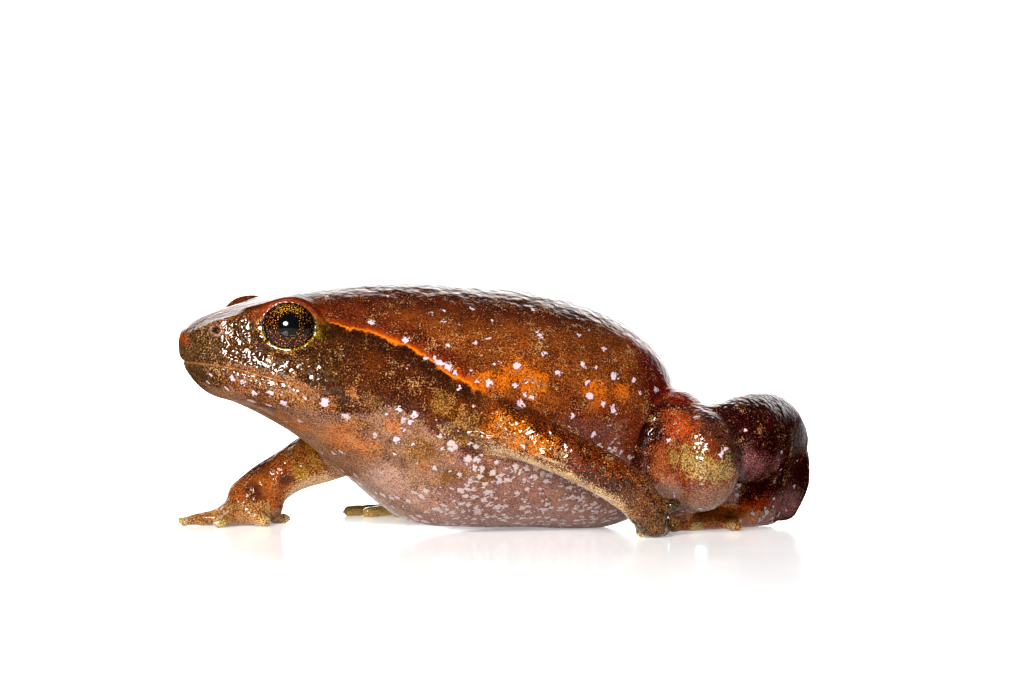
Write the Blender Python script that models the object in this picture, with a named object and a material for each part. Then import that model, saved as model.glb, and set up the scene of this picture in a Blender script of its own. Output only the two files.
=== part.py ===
"""A digging frog at life size, resting on its belly, its hands and its feet.

The frog faces -X, its left side is at -Y and the floor is z = 0. The numbers are millimetres from a point
under the snout, and every solid is moved by ORIGIN and scaled to metres when its mesh is made.
"""

import math

import bmesh
import bpy
import numpy as np
from mathutils import Vector

MM = 0.001
ORIGIN = (20.87, 2.28)  # the middle of the frog's box, which becomes the part's origin
GAP = 0.3  # clear space between two neighbouring solids

# The whole head and body, as stations from snout to rump: place along the body, top and bottom of the
# section, its half width, the height where it is widest, and how square its top and its bottom are.
BODY = [
    (0.62, 12.00, 11.55, 0.30, 11.78, 2.0, 2.0),
    (0.72, 12.42, 11.15, 0.95, 11.70, 2.0, 2.0),
    (1.05, 12.88, 10.55, 1.65, 11.45, 2.0, 2.1),
    (1.75, 13.35, 9.60, 2.48, 11.10, 1.95, 2.2),
    (2.90, 13.80, 8.72, 3.38, 10.75, 2.1, 2.3),
    (4.40, 14.22, 8.10, 4.25, 10.40, 2.4, 2.3),
    (6.30, 14.62, 7.20, 5.05, 10.00, 2.6, 2.2),
    (8.60, 15.00, 5.75, 5.75, 9.40, 2.4, 2.1),
    (11.40, 15.30, 3.65, 6.35, 8.60, 2.2, 2.0),
    (15.00, 15.50, 1.10, 7.20, 7.70, 2.1, 2.0),
    (19.00, 15.25, 0.32, 8.00, 7.20, 2.1, 2.0),
    (23.00, 14.92, 0.10, 8.25, 7.00, 2.1, 2.0),
    (27.00, 13.88, -0.12, 7.70, 7.00, 2.1, 2.0),
    (29.80, 12.45, 0.60, 6.30, 7.10, 2.1, 2.0),
    (31.40, 10.90, 2.30, 4.50, 7.30, 2.0, 2.0),
    (32.20, 9.30, 4.60, 2.40, 7.20, 2.0, 2.0),
    (32.45, 8.00, 6.40, 0.80, 7.20, 2.0, 2.0),
]
BODY_STEPS = 40
BODY_AROUND = 32
NECK_X = 10.6  # the head ends and the torso begins here

# The mouth, as a line seen from the side: along the lips to the corner, then down behind the jaw.
MOUTH = [(-1.0, 10.80), (1.0, 10.68), (2.7, 10.42), (4.4, 9.95), (6.2, 9.42), (7.2, 8.95), (7.9, 7.6), (8.3, 3.0)]
MOUTH_STEPS = 20
MOUTH_GAP = 0.24

# Eyes: the ball looks out along its axis, the brow bulges round it and the lids ring it.
EYE = (6.16, 4.00, 12.85)
EYE_AXIS = (-0.30, 0.93, 0.16)
EYE_RADIUS = 1.62
BROW_RADIUS = 1.98
BROW_SINK = 0.70  # how far the brow's centre lies inside the eye's
LID_LIFT = 0.60  # how far the lids' ring lies outside the eye's centre
LID_RING = 1.66
LID_THICK = 0.24
SOCKET_GAP = 0.2
NOSTRIL = (2.25, 2.02, 12.68)
NOSTRIL_RADIUS = 0.26

# Limbs, as rows from root to end: x, y and z of the line, then half width and half height.
LEFT_ARM = [
    (15.2, -5.4, 7.7, 1.8, 2.0),
    (18.4, -7.6, 6.8, 1.45, 1.6),
    (21.6, -9.4, 5.35, 1.2, 1.4),
    (24.7, -9.9, 3.95, 1.1, 1.35),
    (27.1, -9.9, 2.65, 0.9, 1.2),
]
RIGHT_ARM = [
    (13.6, 4.4, 6.2, 2.0, 2.0),
    (12.7, 6.8, 5.5, 1.6, 1.7),
    (11.3, 8.5, 4.45, 1.3, 1.45),
    (9.5, 9.0, 3.1, 1.25, 1.45),
    (8.0, 8.9, 1.9, 0.95, 1.1),
]
ELBOW = 2  # the row of an arm where the forearm begins

TIP_Z = 0.28  # a resting tip's centre: low enough that the floor presses its pad a little flat
LEFT_PALM = [(27.2, -9.9, 2.3, 0.85, 1.05), (27.65, -9.9, 1.5, 0.9, 0.95), (27.8, -9.9, 0.72, 0.9, 0.8)]
LEFT_FINGERS = [
    [(27.6, -9.8, 1.1), (27.3, -9.7, 0.6), (27.0, -9.5, TIP_Z)],
    [(27.8, -9.6, 0.9), (27.9, -8.6, 0.5), (27.9, -7.8, TIP_Z)],
    [(28.0, -9.8, 0.9), (28.5, -9.2, 0.5), (28.9, -8.6, TIP_Z)],
    [(27.8, -10.0, 1.9), (28.4, -10.1, 2.05), (28.9, -10.2, 2.0)],
]
RIGHT_PALM = [(7.9, 8.9, 1.7, 0.95, 0.85), (7.1, 8.8, 1.0, 1.35, 0.75), (6.5, 8.7, 0.5, 1.25, 0.55)]
RIGHT_FINGERS = [
    [(6.5, 9.0, 0.65), (4.9, 9.2, 0.45), (3.3, 9.3, TIP_Z)],
    [(6.6, 8.2, 0.65), (5.8, 7.6, 0.45), (5.0, 7.0, TIP_Z)],
    [(7.1, 8.2, 0.8), (7.6, 7.5, 0.5), (8.0, 7.0, TIP_Z)],
    [(7.4, 9.1, 0.8), (8.8, 9.3, 0.45), (10.1, 9.4, TIP_Z)],
]

LEFT_THIGH = [(29.6, -1.5, 6.7, 2.8, 2.9), (30.6, -5.4, 5.8, 2.6, 3.1), (31.3, -9.1, 4.75, 2.35, 3.15)]
LEFT_SHANK = [(32.3, -8.7, 4.7, 2.0, 2.6), (34.9, -7.1, 5.75, 2.4, 2.75), (37.4, -4.8, 5.8, 2.1, 2.6),
              (39.0, -3.0, 5.1, 1.5, 1.9)]
LEFT_TARSUS = [(39.35, -2.6, 4.4, 1.35, 1.6), (39.5, -2.6, 2.9, 1.3, 1.6), (38.8, -2.8, 1.55, 1.25, 1.5)]
LEFT_SOLE = [(37.9, -3.1, 1.35, 1.2, 1.35), (35.8, -3.9, 0.95, 1.25, 0.95), (33.9, -4.4, 0.56, 1.35, 0.62)]
LEFT_TOES = [
    [(34.9, -5.0, 0.6), (34.6, -5.9, 0.45), (34.3, -6.6, TIP_Z)],
    [(34.3, -5.0, 0.6), (33.0, -5.9, 0.45), (32.0, -6.7, TIP_Z)],
    [(33.9, -4.7, 0.6), (32.1, -5.4, 0.45), (30.4, -6.0, TIP_Z)],
    [(33.8, -4.3, 0.6), (31.4, -4.5, 0.45), (29.3, -4.6, TIP_Z)],
    [(34.0, -3.9, 0.6), (32.3, -3.5, 0.45), (30.9, -3.1, TIP_Z)],
]

RIGHT_THIGH = [(29.4, 1.5, 6.7, 2.8, 2.9), (24.8, 6.6, 5.8, 2.8, 3.0), (20.9, 10.4, 4.7, 2.2, 2.7)]
RIGHT_SHANK = [(22.2, 11.2, 4.4, 1.8, 2.1), (24.6, 11.2, 4.4, 2.1, 2.4), (27.4, 10.4, 3.8, 1.95, 2.2),
               (30.0, 9.1, 2.9, 1.35, 1.6)]
RIGHT_TARSUS = [(30.7, 9.5, 2.0, 1.3, 1.5), (29.6, 11.3, 1.35, 1.25, 1.3), (27.6, 12.5, 1.05, 1.2, 1.1)]
RIGHT_SOLE = [(26.8, 12.8, 1.0, 1.15, 1.0), (24.4, 13.2, 0.75, 1.25, 0.75), (22.2, 13.3, 0.56, 1.4, 0.62)]
RIGHT_TOES = [
    [(22.8, 12.6, 0.6), (21.6, 11.9, 0.45), (20.7, 11.4, TIP_Z)],
    [(22.3, 12.8, 0.6), (20.1, 12.1, 0.45), (18.4, 11.6, TIP_Z)],
    [(22.0, 13.1, 0.6), (19.2, 12.9, 0.45), (16.7, 12.7, TIP_Z)],
    [(21.9, 13.5, 0.6), (18.9, 14.0, 0.45), (15.9, 14.3, TIP_Z)],
    [(22.1, 13.9, 0.6), (20.1, 14.9, 0.45), (18.5, 15.6, TIP_Z)],
]
DIGIT_ROOT = 0.50  # half thickness of a finger or toe where it leaves the palm
DIGIT_NECK = 0.34
DIGIT_TIP = 0.44
DIGIT_FLATNESS = 0.85

LIMB_AROUND = 16
DIGIT_AROUND = 8
DIGIT_STEPS = 5
DOME_STEPS = 3  # rings in a limb's rounded end

# Base colour, roughness and metallic value of each finish.
FINISHES = {
    "skin_back": ((0.20, 0.060, 0.014), 0.30, 0.0),
    "skin_head": ((0.13, 0.050, 0.016), 0.30, 0.0),
    "skin_limbs": ((0.22, 0.065, 0.018), 0.30, 0.0),
    "skin_feet": ((0.12, 0.070, 0.025), 0.30, 0.0),
    "eye": ((0.012, 0.009, 0.008), 0.05, 0.0),
}


def clear_scene():
    """Removes everything that the scene holds."""
    for found in list(bpy.data.objects):
        bpy.data.objects.remove(found)


def finish(name):
    """The material of that name, made the first time it is asked for."""
    if name in bpy.data.materials:
        return bpy.data.materials[name]
    colour, roughness, metallic = FINISHES[name]
    made = bpy.data.materials.new(name)
    made.use_nodes = True
    shader = made.node_tree.nodes["Principled BSDF"]
    shader.inputs["Base Color"].default_value = (*colour, 1.0)
    shader.inputs["Roughness"].default_value = roughness
    shader.inputs["Metallic"].default_value = metallic
    return made


def smooth_rows(stations, count):
    """Rows spaced evenly along the smooth curve that passes through the stations."""
    table = np.array(stations, float)
    ends = np.vstack([2 * table[0] - table[1], table, 2 * table[-1] - table[-2]])
    rows = []
    for step in np.linspace(0, len(table) - 1, count):
        i = min(int(step), len(table) - 2)
        u = step - i
        a, b, c, d = ends[i : i + 4]
        cubic = 2 * b + (c - a) * u + (2 * a - 5 * b + 4 * c - d) * u**2 + (3 * b - a - 3 * c + d) * u**3
        rows.append(cubic / 2)
    return rows


def body_ring(row):
    """One section across the body: two half superellipses that meet where it is widest."""
    x, top, bottom, half, wide, top_power, bottom_power = row
    ring = []
    for i in range(BODY_AROUND):
        angle = 2 * math.pi * i / BODY_AROUND
        side, up = math.cos(angle), math.sin(angle)
        power, height = (top_power, top - wide) if up > 0 else (bottom_power, wide - bottom)
        reach = (abs(side) ** power + abs(up) ** power) ** (-1 / power)
        ring.append((x, half * side * reach, wide + height * up * reach))
    return np.array(ring)


def body_rings(start=-math.inf, end=math.inf):
    """The sections of the body between two places along it, with one exactly at each inner end."""
    rows = smooth_rows(BODY, BODY_STEPS)
    kept = [row for row in rows if start < row[0] < end]
    for place, at in ((start, 0), (end, len(kept) + 1)):
        if math.isfinite(place):
            after = next(i for i, row in enumerate(rows) if row[0] > place)
            share = (place - rows[after - 1][0]) / (rows[after][0] - rows[after - 1][0])
            kept.insert(at, rows[after - 1] * (1 - share) + rows[after] * share)
    return [body_ring(row) for row in kept]


def tube_rings(stations, steps, around=LIMB_AROUND, open_start=False, open_end=False):
    """Sections across a limb that follows the stations, with a rounded end wherever it isn't open."""
    rows = np.array(smooth_rows(stations, steps))
    line = rows[:, :3]
    along = np.gradient(line, axis=0)
    along /= np.linalg.norm(along, axis=1)[:, None]
    stack = [(line[i], along[i], rows[i, 3], rows[i, 4]) for i in range(steps)]
    for end, sign, is_open in ((0, -1, open_start), (-1, 1, open_end)):
        if is_open:
            continue
        centre, way, wide, high = stack[end]
        dome = []
        for k in range(1, DOME_STEPS + 1):
            turn = math.pi / 2 * k / (DOME_STEPS + 0.5)
            out = sign * min(wide, high) * math.sin(turn)
            dome.append((centre + way * out, way, wide * math.cos(turn), high * math.cos(turn)))
        stack = dome[::-1] + stack if end == 0 else stack + dome
    side = np.cross(stack[0][1], (0.0, 0.0, 1.0))
    angles = 2 * math.pi * (np.arange(around) + 0.5) / around  # a facet, not an edge, faces the floor
    rings = []
    for centre, way, wide, high in stack:
        side = side - way * (side @ way)
        side /= np.linalg.norm(side)
        up = np.cross(side, way)
        rings.append(centre + np.outer(np.cos(angles) * wide, side) + np.outer(np.sin(angles) * high, up))
    return rings


def digit_rings(points):
    """A finger or toe: thick at its root, slim along its length and rounded out at its tip."""
    widths = (DIGIT_ROOT, DIGIT_NECK, DIGIT_TIP)
    rows = [(*point, width, width * DIGIT_FLATNESS) for point, width in zip(points, widths)]
    return tube_rings(rows, DIGIT_STEPS, DIGIT_AROUND)


def placed(name, shape, look=None):
    """An object in the scene that holds the shape, with its normals pointing out."""
    bmesh.ops.recalc_face_normals(shape, faces=shape.faces)
    bmesh.ops.triangulate(shape, faces=shape.faces)
    mesh = bpy.data.meshes.new(name)
    shape.to_mesh(mesh)
    shape.free()
    mesh.shade_smooth()
    if look:
        mesh.materials.append(finish(look))
    made = bpy.data.objects.new(name, mesh)
    bpy.context.scene.collection.objects.link(made)
    return made


def in_metres(point):
    """A point of the tables above, in the part's own frame."""
    return Vector((point[0] - ORIGIN[0], point[1] - ORIGIN[1], point[2])) * MM


def solid(name, rings, look=None, rests=False, closed=False):
    """A body through the rings: rests flattens it on the floor, closed makes it a ring without ends."""
    shape = bmesh.new()
    loops = []
    for ring in rings:
        points = [(x, y, max(z, 0.0)) if rests else (x, y, z) for x, y, z in ring]
        loops.append([shape.verts.new(in_metres(point)) for point in points])
    pairs = list(zip(loops, loops[1:]))
    if closed:
        pairs.append((loops[-1], loops[0]))
    for first, second in pairs:
        for i in range(len(first)):
            j = (i + 1) % len(first)
            shape.faces.new((first[i], first[j], second[j], second[i]))
    for loop in () if closed else (loops[0], loops[-1]):
        centre = shape.verts.new(sum((v.co for v in loop), Vector()) / len(loop))
        for i in range(len(loop)):
            shape.faces.new((loop[i], loop[(i + 1) % len(loop)], centre))
    return placed(name, shape, look)


def clearance(rings):
    """The body through the rings, grown by the gap on every side: it clears a neighbour from that body."""
    made = solid("clearance", rings)
    for vertex in made.data.vertices:
        vertex.co += vertex.normal * GAP * MM
    return made


def ball(name, centre, radius, look=None, subdivisions=3):
    """A round ball."""
    shape = bmesh.new()
    bmesh.ops.create_icosphere(shape, subdivisions=subdivisions, radius=radius * MM)
    bmesh.ops.translate(shape, verts=shape.verts, vec=in_metres(centre))
    return placed(name, shape, look)


def below_mouth(shift):
    """All that lies under the mouth line moved up by the shift: it parts the lower jaw from the head."""
    line = [(x, z + shift) for x, z in smooth_rows(MOUTH, MOUTH_STEPS)]
    outline = [*line, (MOUTH[0][0], line[-1][1])]
    half = 9.0
    shape = bmesh.new()
    sides = [[shape.verts.new(in_metres((x, y, z))) for x, z in outline] for y in (-half, half)]
    for side in sides:
        shape.faces.new(side)
    for i in range(len(outline)):
        j = (i + 1) % len(outline)
        shape.faces.new((sides[0][i], sides[0][j], sides[1][j], sides[1][i]))
    return placed("below_mouth", shape)


def lids(centre, axis):
    """The ring of both eyelids, round the eye's axis."""
    middle = centre + axis * LID_LIFT
    across = np.cross(axis, (0.0, 0.0, 1.0))
    across /= np.linalg.norm(across)
    upright = np.cross(across, axis)
    rings = []
    for turn in np.arange(24) * (2 * math.pi / 24):
        out = across * math.cos(turn) + upright * math.sin(turn)
        around = np.arange(8) * (2 * math.pi / 8)
        profile = np.outer(np.cos(around), out) + np.outer(np.sin(around), axis)
        rings.append(middle + out * LID_RING + profile * LID_THICK)
    return solid("lids", rings, closed=True)


def combine(target, operation, others):
    """Joins the others to the target, cuts them from it or keeps what they share, and removes them."""
    group = bpy.data.collections.new("pieces")
    bpy.context.scene.collection.children.link(group)
    for other in others:
        bpy.context.scene.collection.objects.unlink(other)
        group.objects.link(other)
    change = target.modifiers.new("combine", "BOOLEAN")
    change.operation = operation
    change.solver = "EXACT"
    change.operand_type = "COLLECTION"
    change.collection = group
    bpy.context.view_layer.update()
    graph = bpy.context.evaluated_depsgraph_get()
    mesh = bpy.data.meshes.new_from_object(target.evaluated_get(graph))
    target.modifiers.clear()
    target.data = mesh
    for other in others:
        bpy.data.objects.remove(other)
    bpy.data.collections.remove(group)
    keep_largest(target)


def keep_largest(target):
    """Drops every loose scrap that a cut leaves, so that the object stays one closed surface."""
    shape = bmesh.new()
    shape.from_mesh(target.data)
    waiting = set(shape.faces)
    islands = []
    while waiting:
        search = [waiting.pop()]
        island = []
        while search:
            face = search.pop()
            island.append(face)
            near = {other for edge in face.edges for other in edge.link_faces} & waiting
            waiting -= near
            search.extend(near)
        islands.append(island)
    islands.sort(key=len)
    for island in islands[:-1]:
        bmesh.ops.delete(shape, geom=island, context="FACES")
    shape.to_mesh(target.data)
    shape.free()


def make_head():
    """The head with its brows, lids, sockets and nostrils, the lower jaw, and both eyes."""
    rings = body_rings(end=NECK_X - GAP / 2)
    head = solid("head", rings, "skin_head")
    combine(head, "DIFFERENCE", [below_mouth(MOUTH_GAP / 2)])
    jaw = solid("lower_jaw", rings, "skin_head")
    combine(jaw, "INTERSECT", [below_mouth(-MOUTH_GAP / 2)])
    raised, pits = [], []
    for side, name in ((-1, "left"), (1, "right")):
        mirror = np.array((1, side, 1))
        centre = np.array(EYE) * mirror
        axis = np.array(EYE_AXIS) / np.linalg.norm(EYE_AXIS) * mirror
        raised += [ball("brow", centre - axis * BROW_SINK, BROW_RADIUS), lids(centre, axis)]
        pits.append(ball("socket", centre, EYE_RADIUS + SOCKET_GAP))
        pits.append(ball("nostril", np.array(NOSTRIL) * mirror, NOSTRIL_RADIUS, subdivisions=2))
        ball(f"{name}_eye", centre, EYE_RADIUS, "eye")
    combine(head, "UNION", raised)
    combine(head, "DIFFERENCE", pits)


def make_arm(side, arm, palm, fingers):
    """Upper arm, forearm and hand, parted at the elbow and at the wrist: gives the forearm's rings."""
    upper_rings = tube_rings(arm[: ELBOW + 1], 8)
    fore_rings = tube_rings(arm[ELBOW:], 7, open_start=True)
    upper = solid(f"{side}_upper_arm", upper_rings, "skin_limbs")
    combine(upper, "DIFFERENCE", [clearance(body_rings())])
    fore = solid(f"{side}_forearm", fore_rings, "skin_limbs")
    combine(fore, "DIFFERENCE", [clearance(body_rings()), clearance(upper_rings)])
    hand = solid(f"{side}_hand", tube_rings(palm, 5), "skin_feet", rests=True)
    combine(hand, "UNION", [solid("finger", digit_rings(points), rests=True) for points in fingers])
    combine(hand, "DIFFERENCE", [clearance(body_rings()), clearance(fore_rings)])
    return fore_rings


def make_leg(side, forearm, thigh, shank, tarsus, sole, toes):
    """Thigh, shank, tarsus and foot: each is cleared from those before it, the body and the forearm."""
    roots = [body_rings(), forearm]
    for name, stations, steps in (("thigh", thigh, 7), ("shank", shank, 9), ("tarsus", tarsus, 7)):
        rings = tube_rings(stations, steps)
        piece = solid(f"{side}_{name}", rings, "skin_limbs", rests=True)
        combine(piece, "DIFFERENCE", [clearance(root) for root in roots])
        roots.append(rings)
    foot = solid(f"{side}_foot", tube_rings(sole, 6), "skin_feet", rests=True)
    combine(foot, "UNION", [solid("toe", digit_rings(points), rests=True) for points in toes])
    combine(foot, "DIFFERENCE", [clearance(root) for root in roots])


def main():
    """Builds every solid of the frog."""
    clear_scene()
    make_head()
    solid("torso", body_rings(start=NECK_X + GAP / 2), "skin_back", rests=True)
    left_forearm = make_arm("left", LEFT_ARM, LEFT_PALM, LEFT_FINGERS)
    right_forearm = make_arm("right", RIGHT_ARM, RIGHT_PALM, RIGHT_FINGERS)
    make_leg("left", left_forearm, LEFT_THIGH, LEFT_SHANK, LEFT_TARSUS, LEFT_SOLE, LEFT_TOES)
    make_leg("right", right_forearm, RIGHT_THIGH, RIGHT_SHANK, RIGHT_TARSUS, RIGHT_SOLE, RIGHT_TOES)


main()
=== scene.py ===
"""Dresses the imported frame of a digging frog, a still life-size model on its belly, hands and feet.

One skin in one mesh takes the place of the head, the jaw, the torso and the limbs, and an eyeball takes
the place of each plain eye. The frog faces -X and its left side is at -Y. Every table below is in
millimetres from a point under the snout, as in the part's source, and ORIGIN moves it to the part's frame.
"""

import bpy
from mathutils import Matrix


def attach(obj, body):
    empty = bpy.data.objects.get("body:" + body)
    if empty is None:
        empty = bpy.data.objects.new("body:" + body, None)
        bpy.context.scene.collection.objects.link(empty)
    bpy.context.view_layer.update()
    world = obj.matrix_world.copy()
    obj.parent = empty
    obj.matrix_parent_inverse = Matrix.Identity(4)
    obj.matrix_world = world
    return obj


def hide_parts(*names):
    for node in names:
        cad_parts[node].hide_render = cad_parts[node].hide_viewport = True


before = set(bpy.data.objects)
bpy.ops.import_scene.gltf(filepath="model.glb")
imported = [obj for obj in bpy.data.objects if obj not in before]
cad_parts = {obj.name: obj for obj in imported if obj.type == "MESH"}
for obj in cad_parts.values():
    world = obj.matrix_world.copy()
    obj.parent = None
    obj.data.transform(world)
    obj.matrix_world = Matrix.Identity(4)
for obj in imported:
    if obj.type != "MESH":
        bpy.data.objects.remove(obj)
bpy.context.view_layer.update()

import logging
import math
from dataclasses import dataclass
from enum import Enum
from functools import partial

import bmesh
import bpy
import numpy as np
from mathutils import Vector

log = logging.getLogger("digging_frog")

MM = 0.001
ORIGIN = np.array((20.87, 2.28, 0.0))  # the part's own origin, from the point under the snout

Array = np.ndarray
Material = bpy.types.Material
Mesh = bpy.types.Mesh
NodeTree = bpy.types.NodeTree
Object = bpy.types.Object
Socket = bpy.types.NodeSocket
Rows = tuple[tuple[float, ...], ...]


class Side(Enum):
    """A side of the frog, and its sign along Y."""

    LEFT = -1
    RIGHT = 1


# Curves, tubes and plain helpers


def in_metres(points: Array) -> Array:
    """Points of the tables, in the frame of the part."""
    return (np.asarray(points, float) - ORIGIN) * MM


def ramp(value: Array, start: float, end: float) -> Array:
    """Eases from 0 at start to 1 at end, in either direction."""
    share = np.clip((value - start) / (end - start), 0.0, 1.0)
    return share * share * (3.0 - 2.0 * share)


def hill(distance: Array, width: float) -> Array:
    """A round hill of height 1 at no distance, that has sunk to a third at the width."""
    return np.exp(-((distance / width) ** 2))


def smooth_rows(stations: Rows, count: int) -> Array:
    """Rows spaced evenly along the smooth curve through the stations.

    Args:
        stations: The rows that the curve passes through.
        count: How many rows to give back.

    Returns:
        The rows, one to a line.
    """
    table = np.array(stations, float)
    ends = np.vstack([2 * table[0] - table[1], table, 2 * table[-1] - table[-2]])
    rows = []
    for step in np.linspace(0, len(table) - 1, count):
        i = min(int(step), len(table) - 2)
        u = step - i
        a, b, c, d = ends[i : i + 4]
        cubic = 2 * b + (c - a) * u + (2 * a - 5 * b + 4 * c - d) * u**2 + (3 * b - a - 3 * c + d) * u**3
        rows.append(cubic / 2)
    return np.array(rows)


def tube_rings(stations: Rows, steps: int, around: int, dome_steps: int = 7) -> list[Array]:
    """Sections across a limb that follows its stations, with both ends rounded.

    Args:
        stations: x, y, z, half width and half height of the limb at each place.
        steps: How many sections lie between the ends.
        around: How many points a section has.
        dome_steps: How many sections round off each end.

    Returns:
        The sections from root to end.
    """
    rows = smooth_rows(stations, steps)
    line = rows[:, :3]
    along = np.gradient(line, axis=0)
    along /= np.linalg.norm(along, axis=1)[:, None]
    stack = [(line[i], along[i], rows[i, 3], rows[i, 4]) for i in range(steps)]
    for end, sign in ((0, -1), (-1, 1)):
        centre, way, wide, high = stack[end]
        dome = []
        for k in range(1, dome_steps + 1):
            turn = math.pi / 2 * k / (dome_steps + 0.5)
            out = sign * min(wide, high) * math.sin(turn)
            dome.append((centre + way * out, way, wide * math.cos(turn), high * math.cos(turn)))
        stack = dome[::-1] + stack if end == 0 else stack + dome
    side = np.cross(stack[0][1], (0.0, 0.0, 1.0))
    angles = 2 * math.pi * (np.arange(around) + 0.5) / around
    rings = []
    for centre, way, wide, high in stack:
        side = side - way * (side @ way)
        side /= np.linalg.norm(side)
        up = np.cross(side, way)
        rings.append(centre + np.outer(np.cos(angles) * wide, side) + np.outer(np.sin(angles) * high, up))
    return rings


def to_left(points: Array) -> Array:
    """The points, with those of the right side moved to their places on the left."""
    return np.stack([points[:, 0], -np.abs(points[:, 1]), points[:, 2]], 1)


def line_distance(points: Array, line: Array) -> tuple[Array, Array]:
    """How far points lie from a line of many short steps.

    Args:
        points: The points.
        line: Rows whose first three values are places along the line, and whose last two, where it has
            five, are a tube's half width and half height, which are then taken off the distance.

    Returns:
        The distance of each point, and its place along the line from 0 to 1.
    """
    best = np.full(len(points), np.inf)
    place = np.zeros(len(points))
    for i, row in enumerate(line):
        distance = np.linalg.norm(points - row[:3], axis=1)
        if len(row) >= 5:
            distance = distance - (row[3] + row[4]) / 2
        nearer = distance < best
        best = np.where(nearer, distance, best)
        place = np.where(nearer, i / (len(line) - 1), place)
    return best, place


class Shell:
    """Closed shapes gathered in one list of points and faces."""

    def __init__(self) -> None:
        """Starts with nothing in it."""
        self.points: list[Array] = []
        self.faces: list[tuple[int, ...]] = []
        self.count = 0

    def loft(self, rings: list[Array], rests: bool = False) -> None:
        """Adds the body through the rings.

        Args:
            rings: Its sections, all with as many points.
            rests: Whether the floor presses it flat.
        """
        around = len(rings[0])
        for ring in rings:
            self.points.append(np.maximum(ring, (-np.inf, -np.inf, 0.0)) if rests else ring)
        for i in range(len(rings) - 1):
            low, high = self.count + i * around, self.count + (i + 1) * around
            for j in range(around):
                k = (j + 1) % around
                self.faces.append((low + j, low + k, high + k, high + j))
        last = self.count + (len(rings) - 1) * around
        self.faces.append(tuple(range(self.count, self.count + around))[::-1])
        self.faces.append(tuple(range(last, last + around)))
        self.count += len(rings) * around

    def ball(self, centre: Array, radius: float) -> None:
        """Adds a round ball.

        Args:
            centre: Its middle.
            radius: Its radius.
        """
        steps, around = 24, 48
        turns = (np.arange(steps) + 0.5) * math.pi / steps
        angles = np.arange(around) * 2 * math.pi / around
        rings = []
        for turn in turns:
            circle = np.stack([np.cos(angles), np.sin(angles), np.zeros(around)], 1) * math.sin(turn)
            rings.append(centre + radius * (circle + (0.0, 0.0, math.cos(turn))))
        self.loft(rings)

    def mesh(self, name: str) -> Mesh:
        """All the shapes in one mesh, in millimetres."""
        made = bpy.data.meshes.new(name)
        made.from_pydata(np.concatenate(self.points).tolist(), [], self.faces)
        return made


def linked(name: str, mesh: Mesh) -> Object:
    """A new object in the scene that shows the mesh."""
    made = bpy.data.objects.new(name, mesh)
    bpy.context.scene.collection.objects.link(made)
    return made


def settled(target: Object) -> None:
    """Turns what the object's modifiers make into its own mesh and removes them.

    Args:
        target: The object.
    """
    bpy.context.view_layer.update()
    graph = bpy.context.evaluated_depsgraph_get()
    mesh = bpy.data.meshes.new_from_object(target.evaluated_get(graph))
    target.modifiers.clear()
    target.data = mesh


def points_of(mesh: Mesh) -> Array:
    """The places of a mesh's points."""
    flat = np.zeros(len(mesh.vertices) * 3, np.float32)
    mesh.vertices.foreach_get("co", flat)
    return flat.reshape(-1, 3).astype(float)


def normals_of(mesh: Mesh) -> Array:
    """The way that each point of a mesh faces."""
    flat = np.zeros(len(mesh.vertices) * 3, np.float32)
    mesh.vertex_normals.foreach_get("vector", flat)
    return flat.reshape(-1, 3).astype(float)


def put_points(mesh: Mesh, points: Array) -> None:
    """Moves a mesh's points."""
    mesh.vertices.foreach_set("co", points.astype(np.float32).ravel())
    mesh.update()


def put_values(mesh: Mesh, name: str, values: Array) -> None:
    """Keeps a number on each point of a mesh, for a material to read."""
    layer = mesh.attributes.new(name, "FLOAT", "POINT")
    layer.data.foreach_set("value", values.astype(np.float32))


def relax(mesh: Mesh, weights: Array, rounds: int, keep_size: bool) -> None:
    """Draws each point towards the middle of its neighbours.

    Args:
        mesh: The mesh whose points move.
        weights: How far each point follows, from 0 to 1.
        rounds: How often this is done.
        keep_size: Whether each round is followed by one that pushes back, which keeps thin shapes thick.
    """
    edges = np.zeros(len(mesh.edges) * 2, np.int32)
    mesh.edges.foreach_get("vertices", edges)
    first, second = edges.reshape(-1, 2).T
    points = points_of(mesh)
    count = len(points)
    met = np.bincount(first, minlength=count) + np.bincount(second, minlength=count)
    pulls = (0.5, -0.53) if keep_size else (0.5,)
    for _ in range(rounds):
        for pull in pulls:
            middle = np.empty_like(points)
            for axis in range(3):
                value = points[:, axis]
                total = np.bincount(first, value[second], count) + np.bincount(second, value[first], count)
                middle[:, axis] = total / met
            points += (middle - points) * (weights * pull)[:, None]
    put_points(mesh, points)


def refine(mesh: Mesh, chosen: Array) -> None:
    """Splits every face with a chosen point into four.

    Args:
        mesh: The mesh whose faces are split.
        chosen: For each point, whether the faces round it are split.
    """
    shape = bmesh.new()
    shape.from_mesh(mesh)
    shape.verts.ensure_lookup_table()
    faces = {face for i in np.flatnonzero(chosen) for face in shape.verts[i].link_faces}
    edges = list({edge for face in faces for edge in face.edges})
    bmesh.ops.subdivide_edges(shape, edges=edges, cuts=1, use_grid_fill=True)
    shape.to_mesh(mesh)
    shape.free()
    mesh.update()


# Materials

ATTRIBUTE = "ShaderNodeAttribute"
MAP_RANGE = "ShaderNodeMapRange"
MATH = "ShaderNodeMath"
MIX = "ShaderNodeMix"
NOISE = "ShaderNodeTexNoise"
VECTOR_MATH = "ShaderNodeVectorMath"
VORONOI = "ShaderNodeTexVoronoi"


def linear(hex_colour: str) -> tuple[float, float, float, float]:
    """Turns an sRGB hex colour to linear.

    Args:
        hex_colour: The colour, with its #.

    Returns:
        The colour that a socket takes.
    """
    shares = [int(hex_colour[i : i + 2], 16) / 255 for i in (1, 3, 5)]
    red, green, blue = (s / 12.92 if s <= 0.04045 else ((s + 0.055) / 1.055) ** 2.4 for s in shares)
    return red, green, blue, 1.0


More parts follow.
